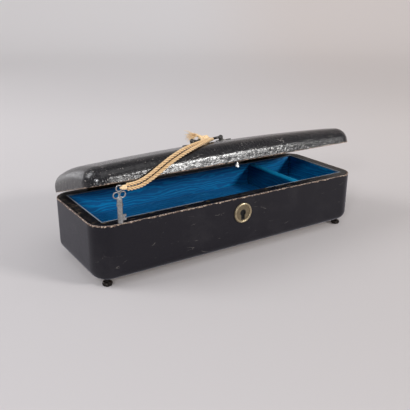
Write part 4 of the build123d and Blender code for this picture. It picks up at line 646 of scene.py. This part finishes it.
def threadFinish(name, color, dark, light, plies=False):
    finish = Finish(name, color, 0.62, constants={
        "Sheen Weight": 0.3, "Sheen Roughness": 0.5, "Specular IOR Level": 0.35,
    })
    place = finish.coords()
    fuzz = finish.noise(place, 2.2, 4.0, 0.7)
    strands = finish.noise(finish.stretch(place, (1.0, 1.0, 2.5)), 5.0, 2.0)
    tone = finish.blend(fuzz.rise(0.3, 0.75), finish.blend(strands, dark, color), light)
    if plies:  # painted shade in the valleys between the plies
        valley = 1.0 - finish.part(finish.stored("plyHeight"), "X")
        tone = finish.blend(valley.rise(0.3, 0.9) * 0.9, tone, cordLook["valleyShadeColor"])
    finish.feed("Base Color", tone)
    finish.feed("Roughness", 0.5 + fuzz * 0.3)
    finish.relief(strands + fuzz * 0.5, 0.10)
    return finish


goldThread = threadFinish("goldThreadFinish", cordLook["frayColor"], cordLook["color"], cordLook["paleColor"])
goldStrand = threadFinish(
    "goldStrandFinish", cordLook["color"], cordLook["darkColor"], cordLook["lightColor"], plies=True
)

# the strands' routes in the lid's frame, the same points as the solid cords follow
strandRoutes = {
    "cord_strand_lower": [
        (7.2, 6.1, 25.3), (3.4, -4.0, 24.4), (-4.0, -16.5, 23.9), (-15.0, -29.0, 22.7),
        (-29.5, -39.8, 20.3), (-44.0, -47.0, 17.3), (-58.0, -50.1, 13.0), (-69.5, -51.8, 8.5),
        (-79.5, -52.3, 3.4), (-88.0, -52.7, -0.9), (-96.5, -53.9, -4.3), (-105.0, -55.6, -6.1),
        (-112.9, -56.7, -5.8),
    ],
    "cord_strand_upper": [
        (3.9, 6.1, 25.3), (0.1, -3.0, 24.4), (-7.3, -14.6, 24.0), (-18.2, -26.7, 23.1),
        (-32.4, -37.4, 21.5), (-46.4, -44.9, 19.6), (-59.4, -49.7, 16.2), (-70.8, -51.8, 11.9),
        (-80.8, -52.3, 6.9), (-89.4, -52.7, 2.4), (-97.8, -53.9, -0.9), (-105.8, -55.7, -2.7),
        (-112.9, -56.7, -2.6),
    ],
}


# the points of the smooth spline that has the given points as its control points
def splinePoints(points, steps):
    data = bpy.data.curves.new("route", "CURVE")
    data.dimensions = "3D"
    spline = data.splines.new("NURBS")
    spline.points.add(len(points) - 1)
    control = np.column_stack([np.asarray(points, float) * mm, np.ones(len(points))])
    spline.points.foreach_set("co", control.ravel())
    spline.order_u = 3
    spline.use_endpoint_u = True
    spline.resolution_u = steps
    made = bpy.data.objects.new("route", data)
    mesh = bpy.data.meshes.new_from_object(made)
    found = np.zeros(len(mesh.vertices) * 3)
    mesh.vertices.foreach_get("co", found)
    bpy.data.meshes.remove(mesh)
    bpy.data.objects.remove(made)
    bpy.data.curves.remove(data)
    return found.reshape(-1, 3) / mm


# the strand's plies, with sharp valleys between them that wind round it as it goes
# height at angle a and distance d = |cosine(plies x (a - 2 pi x d / turn length) / 2)|
# radius there = radius x (valley + (1 - valley) x height)
def plyHeight(angle, distance):
    return np.abs(np.cos(cordLook["plies"] * (angle - distance * fullTurn / cordLook["turnLength"]) / 2))


def plySection(angle, distance):
    return cordLook["valley"] + (1 - cordLook["valley"]) * plyHeight(angle, distance)


# where a strand would pass from the lid to the bail, on either side of the bail's axis; cordStrand works
# these out but does not use them
strandBlend = {"sides": 36, "steps": 40, "onLid": (0.0, -2.5, 25.3), "onBail": (0.0, 2.5, 25.3)}


def cordStrand(node, label):
    path = splinePoints(lidToWorld(strandRoutes[node]), strandBlend["steps"])
    points, faces = tubeMesh(path, cordLook["radius"], strandBlend["sides"], plySection)
    height = np.ones((len(points), 3))  # the last two points are the middles of the ends
    angle = np.linspace(0, fullTurn, strandBlend["sides"], endpoint=False)
    height[:-2] = plyHeight(angle[None, :], distanceAlong(path)[:, None]).reshape(-1, 1)
    made = makeObject(label, points, faces, goldStrand, None, stored={"plyHeight": height})
    start, end = (lidToWorld(strandBlend[key]) * mm for key in ("onLid", "onBail"))
    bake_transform(made)
    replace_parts(made, node)
    return made, path, float(distanceAlong(path)[-1])


strandLower, lowerPath, lowerLength = cordStrand("cord_strand_lower", "cordStrandLower")
strandUpper, upperPath, upperLength = cordStrand("cord_strand_upper", "cordStrandUpper")
print("stage: cord strands", round(lowerLength, 1), round(upperLength, 1))

# thinner wire of the same cord, in the knot and the key's tie
wireForm = {"sides": 14, "plies": 3, "depth": 0.14, "turnLength": 4.2}


# share of the radius = 1 + depth x cosine(plies x angle + distance x 2 pi / turn length)
def wireSection(angle, distance):
    turn = distance * fullTurn / wireForm["turnLength"]
    return 1 + wireForm["depth"] * np.cos(wireForm["plies"] * angle + turn)


def twistedWire(path, radius):
    return tubeMesh(path, radius, wireForm["sides"], wireSection)


# turns round a line along x: (x, y + reach x cosine of the angle, z + reach x sine of the angle)
def turnsRound(form, x, reach, angle):
    return np.column_stack([x, form["y"] + reach * np.cos(angle), form["z"] + reach * np.sin(angle)])


# knot on the bail's bar, in the lid's frame: turns, crossing turns over them, and a frayed end
# lift is the height of the turns above the bar, in wire radii
knotForm = {
    "x": 3.5, "y": 10.0, "z": 25.3, "barRadius": 1.25, "wire": 1.05,
    "turns": 5.0, "halfLength": 5.2, "lift": 0.97, "steps": 260,
    "overTurns": 2.2, "overStart": 0.8, "overFrom": -2.6, "overLength": 5.6, "overLift": 2.05,
    "overShare": 0.92, "overSteps": 150,
    "stem": [(3.0, 10.0, 27.4), (-0.5, 10.6, 29.4), (-3.4, 11.1, 31.0), (-5.6, 11.3, 31.5)],
    "stemRadius": 1.3,
    "threads": 120, "threadRadius": 0.13, "threadFrom": (-4.2, 11.3, 31.0),
    "spread": (0.9, 1.8, 1.7), "shortest": 3.4, "longer": 6.6, "droop": 0.2, "seed": 7,
    "drift": [(0.0, 0.0, 0.0), (0.35, 0.25, 0.0), (0.7, 0.75, 1.0), (1.0, 1.15, 1.6)],
}


# a single thread of the frayed end; drift has, for each point of its route, the shares of
# its reach along -x, of its drift away from the stem and of its bend
def frayThread(draw):
    f = knotForm
    away = np.clip(draw.normal(0, 1, 3), -2.0, 2.0) * f["spread"]
    reach = f["shortest"] + draw.random() * f["longer"]
    base = f["threadFrom"] + away * 0.4
    bend = draw.normal(0, 0.5, 3)
    route = [base + (-reach * out, 0, 0) + away * off + bend * bent for out, off, bent in f["drift"]]
    route[-1][2] -= f["droop"]
    return tubeMesh(splinePoints(route, 6), f["threadRadius"], sides=5)


def cordKnot():
    f = knotForm
    t = np.linspace(0, 1, f["steps"])
    x = f["x"] - f["halfLength"] + 2 * f["halfLength"] * t
    wound = turnsRound(f, x, f["barRadius"] + f["wire"] * f["lift"], t * f["turns"] * fullTurn)
    t = np.linspace(0, 1, f["overSteps"])
    x = f["x"] + f["overFrom"] + f["overLength"] * t
    angle = t * f["overTurns"] * fullTurn + f["overStart"]
    cross = turnsRound(f, x, f["barRadius"] + f["wire"] * f["overLift"], angle)
    draw = np.random.default_rng(f["seed"])
    return joinMeshes([
        twistedWire(wound, f["wire"]),
        twistedWire(cross, f["wire"] * f["overShare"]),
        twistedWire(splinePoints(f["stem"], 12), f["stemRadius"]),
        *[frayThread(draw) for _ in range(f["threads"])],
    ])


points, faces = cordKnot()
knot = makeObject("cordKnot", lidToWorld(points), faces, goldThread, "handle")
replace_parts(knot, "cord_knot")

# turns of the cord beside the key's ring, about the axis that the key hangs from, and a loop through the ring
tieForm = {
    "x": -119.8, "y": -52.44, "z": 85.33, "wire": 0.85, "turns": 3.3, "turnsFrom": 2.0, "turnsLength": 4.1,
    "innerReach": 0.35, "outerReach": 0.72, "core": (1.0, 6.6), "coreRadius": 0.75,
    "loopAngle": 2.3, "loopX": 2.35, "loopReach": (1.35, 0.95), "loopWire": 0.5,
}


def keyTie():
    f = tieForm
    t = np.linspace(0, 1, 170)
    x = f["x"] + (f["turnsFrom"] + f["turnsLength"] * t)
    reach = f["innerReach"] + f["outerReach"] * np.clip(t * 3, 0, 1)
    wound = turnsRound(f, x, reach, t * f["turns"] * fullTurn)
    core = turnsRound(f, np.linspace(*f["core"], 12) + f["x"], 0.0, np.zeros(12))
    a = np.linspace(-f["loopAngle"], f["loopAngle"], 40)
    across, deep = f["loopReach"]
    loopX = f["x"] + f["loopX"] - across * np.cos(a)
    loop = np.column_stack([loopX, f["y"] + deep * np.sin(a), np.full(len(a), f["z"])])
    return joinMeshes([
        twistedWire(wound, f["wire"]),
        tubeMesh(core, f["coreRadius"], sides=12),
        tubeMesh(loop, f["loopWire"]),
    ])


points, faces = keyTie()
tie = makeObject("keyTie", points, faces, goldThread, "hanging_key")
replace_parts(tie, "key_tie")
print("stage: knot and key tie")

# metals; the last value is how far the dark tarnish covers the other colour
metalLook = {
    "brass": {
        "color": (0.36, 0.27, 0.14), "dark": (0.055, 0.038, 0.018), "roughness": 0.36, "grimeAndShade": 0.8,
    },
    "plateBrass": {
        "color": (0.52, 0.43, 0.28), "dark": (0.050, 0.038, 0.024), "roughness": 0.30, "grimeAndShade": 0.5,
    },
    "brightBrass": {
        "color": (0.66, 0.47, 0.20), "dark": (0.34, 0.22, 0.08), "roughness": 0.24, "grimeAndShade": 0.35,
    },
    "bronze": {
        "color": (0.060, 0.050, 0.044), "dark": (0.008, 0.007, 0.007), "roughness": 0.26, "grimeAndShade": 0.8,
    },
    "handleMetal": {
        "color": (0.10, 0.095, 0.09), "dark": (0.012, 0.011, 0.011), "roughness": 0.40, "grimeAndShade": 0.8,
    },
    "steel": {
        "color": (0.50, 0.50, 0.50), "dark": (0.20, 0.19, 0.18), "roughness": 0.30, "grimeAndShade": 0.4,
    },
    "blued": {
        "color": (0.06, 0.08, 0.17), "dark": (0.02, 0.02, 0.04), "roughness": 0.25, "grimeAndShade": 0.4,
    },
    "silver": {
        "color": (0.42, 0.42, 0.42), "dark": (0.07, 0.07, 0.07), "roughness": 0.34, "grimeAndShade": 0.7,
    },
}


def metalFinish(metal):
    look = metalLook[metal]
    finish = Finish(metal + "Finish", look["color"], look["roughness"], 1.0)
    place = finish.coords()
    cloud = finish.noise(place, 0.35, 5.0, 0.65)
    specks = finish.noise(place, 1.6, 4.0, 0.7)
    tarnish = (cloud * 0.6 + specks * 0.5).rise(0.42, 0.72) * look["grimeAndShade"]
    brushed = finish.noise(finish.stretch(place, (6.0, 0.8, 0.8)), 1.0, 3.0)
    finish.feed("Base Color", finish.blend(tarnish, look["color"], look["dark"]))
    finish.feed("Roughness", look["roughness"] + tarnish * 0.3 + (brushed - 0.5) * 0.15)
    finish.feed("Metallic", 1.0 - tarnish * 0.35)
    finish.relief(specks * 0.4 + brushed * 0.3 + finish.cells(place, 1.1).rise(0.0, 0.25) * 0.3, 0.035)
    return finish


metals = {metal: metalFinish(metal) for metal in metalLook}

# escutcheon, in millimetres: pale bead, dull field, and painted black shade in and round the keyhole
plateForm = {
    "keyholeZ": 40.5, "field": (6.9, 7.3), "keyholeShade": (2.9, 3.4), "slotSide": (1.8, 2.3),
    "slotTop": (0.2, 0.6), "slotLow": (-7.0, -6.4), "keyholeShadeColor": (0.001, 0.001, 0.001),
}


def addPlateKeyholeShade(finish):
    form = plateForm
    place = finish.coords()
    x, z = finish.part(place, "X"), finish.part(place, "Z") - form["keyholeZ"]
    reach = (x * x + z * z).root()
    slot = abs(x).fall(*form["slotSide"]) * z.fall(*form["slotTop"]) * z.rise(*form["slotLow"])
    # painted shade: black in and round the keyhole and its slot, a little larger than the hole, standing for
    # its dark inside
    grimeAndShade = (reach.fall(*form["keyholeShade"]) + slot).least(1.0)
    dull = reach.fall(*form["field"]) * 0.55
    tone = finish.blend(dull, finish.source("Base Color"), metalLook["plateBrass"]["dark"])
    rough, metal = finish.source("Roughness"), finish.source("Metallic")
    finish.feed("Base Color", finish.blend(grimeAndShade, tone, form["keyholeShadeColor"]))
    finish.feed("Roughness", rough + grimeAndShade * 0.4)
    finish.feed("Metallic", metal * (1.0 - grimeAndShade))


addPlateKeyholeShade(metals["plateBrass"])

# wood: long fibres along the box
woodLook = {"light": (0.42, 0.27, 0.14), "dark": (0.20, 0.11, 0.05)}


def woodFinish():
    finish = Finish("woodFinish", woodLook["light"], 0.6)
    place = finish.coords()
    fibres = finish.noise(finish.stretch(place, (0.03, 0.6, 0.6)), 1.0, 6.0, 0.65, 0.6)
    finish.feed("Base Color", finish.blend(fibres.rise(0.3, 0.7), woodLook["dark"], woodLook["light"]))
    finish.feed("Roughness", 0.55 + fibres * 0.2)
    finish.relief(fibres, 0.08)
    return finish


# facing of the rim and of the lid's edge: thin dark leather, rubbed brown
facingLook = {"color": (0.005, 0.0045, 0.005), "rubbed": (0.30, 0.22, 0.15)}


def facingFinish():
    finish = Finish("facingFinish", facingLook["color"], 0.42, constants={"Specular IOR Level": 0.3})
    place = finish.coords()
    rubs = finish.noise(finish.stretch(place, (0.3, 1.0, 1.0)), 0.45, 6.0, 0.7).rise(0.56, 0.68)
    finish.feed("Base Color", finish.blend(rubs * 0.7, facingLook["color"], facingLook["rubbed"]))
    finish.feed("Roughness", 0.38 + rubs * 0.3 + finish.noise(place, 0.8, 3.0) * 0.12)
    finish.relief(finish.cells(place, 0.7).rise(0.0, 0.2) - rubs, 0.07)
    return finish


# piping: pale, silvery thread
pipingLook = {"color": (0.06, 0.10, 0.15), "dark": (0.012, 0.03, 0.06), "light": (0.26, 0.32, 0.38)}
piping = threadFinish("pipingFinish", pipingLook["color"], pipingLook["dark"], pipingLook["light"])
print("stage: metal, wood and trim finishes")

# the solids that stay, by their finish
nodeFinishes = {
    woodFinish(): ["case_carcass", "base_board", "raised_floor", "floor_battens", "lid_board"],
    facingFinish(): ["rim_facing", "lid_facing"],
    silk: ["lining_front", "lining_ends", "lid_lining"],
    partitionShadedSilk: ["partition"],
    piping: ["lining_piping"],
    metals["bronze"]: ["foot_front_left", "foot_rear_left", "foot_front_right", "foot_rear_right"],
    metals["plateBrass"]: ["escutcheon"],
    metals["brass"]: [
        "case_screws", "lid_screws", "hinge_case_leaf_left",
        "hinge_case_leaf_right", "hinge_lid_leaf_left", "hinge_lid_leaf_right",
    ],
    metals["steel"]: [
        "base_screws", "lock_case", "lock_cap", "lock_bolt", "hinge_pins", "click_pin", "comb",
        "winding_arbor", "ratchet_wheel", "cylinder_arbor", "governor_wheel", "fan",
    ],
    metals["brightBrass"]: [
        "movement_bedplate", "barrel_bridge", "barrel", "pinned_cylinder", "winding_key", "stop_slide",
    ],
    metals["blued"]: ["movement_screws", "click", "mainspring"],
    metals["handleMetal"]: ["handle_post_left", "handle_post_right", "handle_bail", "lock_selvage"],
    metals["silver"]: ["key", "staple"],
}
for finish, names in nodeFinishes.items():
    for name in names:
        made = nodes[name]
        made.data.materials.clear()
        made.data.materials.append(finish.material)

# the silk panels that stay as solids get the same stored places as the pads
for name in nodeFinishes[silk] + nodeFinishes[partitionShadedSilk]:
    mesh = nodes[name].data
    co = np.zeros(len(mesh.vertices) * 3, np.float32)
    mesh.vertices.foreach_get("co", co)
    if name in ("lining_ends", "partition"):  # bands run along the depth on the faces across the box
        co = co.reshape(-1, 3)[:, [1, 0, 2]].ravel()
    layer = mesh.attributes.new("localPlace", "FLOAT_VECTOR", "POINT")
    layer.data.foreach_set("vector", co)
print("stage: finishes given to the solids")

# studio floor and backdrop, in millimetres: flat, then a wide curve up into the wall, square to the camera
studioLook = {
    "halfWidth": 6000.0, "front": -3000.0, "bendFrom": 1800.0, "bendRadius": 1500.0, "wallTop": 5000.0,
    "turn": -33.0, "warmFrom": (-200.0, 500.0),
    "nearGlow": 0.19, "nearFrom": (-250.0, 600.0), "farGlow": 0.17, "farFrom": (400.0, 2600.0),
    "floorColor": (0.562, 0.536, 0.541),
    "warmColor": (0.535, 0.497, 0.484),
    "glowColor": (1.0, 0.970, 0.975),
    "warmGlow": (1.0, 0.905, 0.870),
    "worldColor": (0.80, 0.80, 0.82),
    "worldStrength": 0.46,
}


# paper, warmer to the right, and paler towards the back through a painted glow
def paperFinish():
    look, turn = studioLook, math.radians(studioLook["turn"])
    paper = Finish("paperFinish", look["floorColor"], 0.8, constants={
        "Specular IOR Level": 0.2, "Emission Strength": 1.0,
    })
    place = paper.coords()
    x, y = paper.part(place, "X"), paper.part(place, "Y")
    back = x * -math.sin(turn) + y * math.cos(turn)
    across = x * math.cos(turn) + y * math.sin(turn)
    warmth = across.rise(*look["warmFrom"])
    paper.feed("Base Color", paper.blend(warmth, look["floorColor"], look["warmColor"]))
    rays = [paper.node("ShaderNodeLightPath", {}, {}, ray) for ray in ("Is Camera Ray", "Is Glossy Ray")]
    glow = back.rise(*look["nearFrom"]) * look["nearGlow"] + back.rise(*look["farFrom"]) * look["farGlow"]
    glow = glow * (rays[0] + rays[1]).least(1.0)  # seen and mirrored, but no light on the object
    glowTone = paper.blend(warmth, look["glowColor"], look["warmGlow"])
    paper.feed("Emission Color", paper.blend(glow, (0.0, 0.0, 0.0), glowTone))
    return paper


# the profile of places to the back and heights, carried from one side to the other
def studioFloor():
    look, turn = studioLook, math.radians(studioLook["turn"])
    bend = np.radians(np.linspace(0, 90, 24)[1:])
    back = look["bendFrom"] + look["bendRadius"] * np.sin(bend)
    back = np.concatenate([[look["front"], look["bendFrom"]], back, [look["bendFrom"] + look["bendRadius"]]])
    height = np.concatenate([[0.0, 0.0], look["bendRadius"] * (1 - np.cos(bend)), [look["wallTop"]]])
    along = np.array([[-look["halfWidth"]], [look["halfWidth"]]])
    x = along * math.cos(turn) - back * math.sin(turn)
    y = along * math.sin(turn) + back * math.cos(turn)
    rows = np.stack([x, y, np.broadcast_to(height, x.shape)], -1) * mm
    mesh = bpy.data.meshes.new("studioFloor")
    mesh.from_pydata(rows.reshape(-1, 3).tolist(), [], gridFaces(2, len(back), closeRow=False).tolist())
    mesh.polygons.foreach_set("use_smooth", np.full(len(mesh.polygons), True))
    made = bpy.data.objects.new("studioFloor", mesh)
    bpy.context.scene.collection.objects.link(made)
    made.data.materials.append(paperFinish().material)


studioFloor()

# lights, in metres and watts
lightLook = {
    "frontWindow": {
        "place": (0.77, -1.25, 0.66), "target": (0.0, 0.0, 0.05), "size": (0.38, 0.10),
        "power": 13.0, "color": (1.0, 0.985, 0.97),
    },
    "ceilingCard": {
        "place": (0.1, -0.75, 1.6), "target": (0.0, 0.0, 0.05), "size": (1.3, 1.0),
        "power": 4.6, "color": (1.0, 0.99, 0.98),
    },
    "leftWindow": {
        "place": (-1.05, 0.45, 0.95), "target": (0.0, 0.0, 0.02), "size": (0.7, 0.6),
        "power": 9.5, "color": (0.97, 0.98, 1.0),
    },
    "rearCard": {
        "place": (-0.62, 1.25, 0.16), "target": (-0.1, 0.0, 0.03), "size": (0.9, 0.4),
        "power": 1.6, "color": (0.96, 0.97, 1.0),
    },
    "cornerLamp": {
        "place": (-0.98, -0.85, 0.62), "target": (0.0, 0.0, 0.05), "size": (0.14, 0.14),
        "power": 5.0, "color": (0.95, 0.97, 1.0),
    },
}


def areaLight(name, look):
    data = bpy.data.lights.new(name, "AREA")
    data.shape = "RECTANGLE"
    data.size, data.size_y = look["size"]
    data.energy = look["power"]
    data.color = look["color"]
    made = bpy.data.objects.new(name, data)
    made.location = look["place"]
    away = Vector(look["place"]) - Vector(look["target"])
    made.rotation_mode = "QUATERNION"
    made.rotation_quaternion = away.to_track_quat("Z", "Y")
    bpy.context.scene.collection.objects.link(made)


for name, look in lightLook.items():
    areaLight(name, look)

world = bpy.data.worlds.new("studioWorld")
world.use_nodes = True
background = world.node_tree.nodes["Background"]
background.inputs["Color"].default_value = (*studioLook["worldColor"], 1.0)
background.inputs["Strength"].default_value = studioLook["worldStrength"]
bpy.context.scene.world = world

# camera where the photo was taken from, in metres and degrees
cameraLook = {
    "place": (-0.2893, -0.43207, 0.22186), "azimuth": 33.036, "pitch": 20.006, "roll": 0.295,
    "lens": 50.4, "sensor": 36.0, "near": 0.01, "far": 50.0,
}


def makeCamera():
    azimuth, pitch, roll = (math.radians(cameraLook[key]) for key in ("azimuth", "pitch", "roll"))
    level = Vector((math.sin(azimuth), math.cos(azimuth), 0.0))
    forward = level * math.cos(pitch) - Vector((0.0, 0.0, math.sin(pitch)))
    right = Vector((math.cos(azimuth), -math.sin(azimuth), 0.0))
    up = right.cross(forward)
    rightRolled = right * math.cos(roll) + up * math.sin(roll)
    upRolled = up * math.cos(roll) - right * math.sin(roll)
    data = bpy.data.cameras.new("photoCamera")
    data.lens, data.sensor_width = cameraLook["lens"], cameraLook["sensor"]
    data.clip_start, data.clip_end = cameraLook["near"], cameraLook["far"]
    made = bpy.data.objects.new("photoCamera", data)
    turn = Matrix((rightRolled, upRolled, -forward)).transposed().to_4x4()
    made.matrix_world = Matrix.Translation(Vector(cameraLook["place"])) @ turn
    bpy.context.scene.collection.objects.link(made)
    bpy.context.scene.camera = made


makeCamera()
bpy.context.scene.view_settings.view_transform = "Standard"
print("stage: studio and camera")
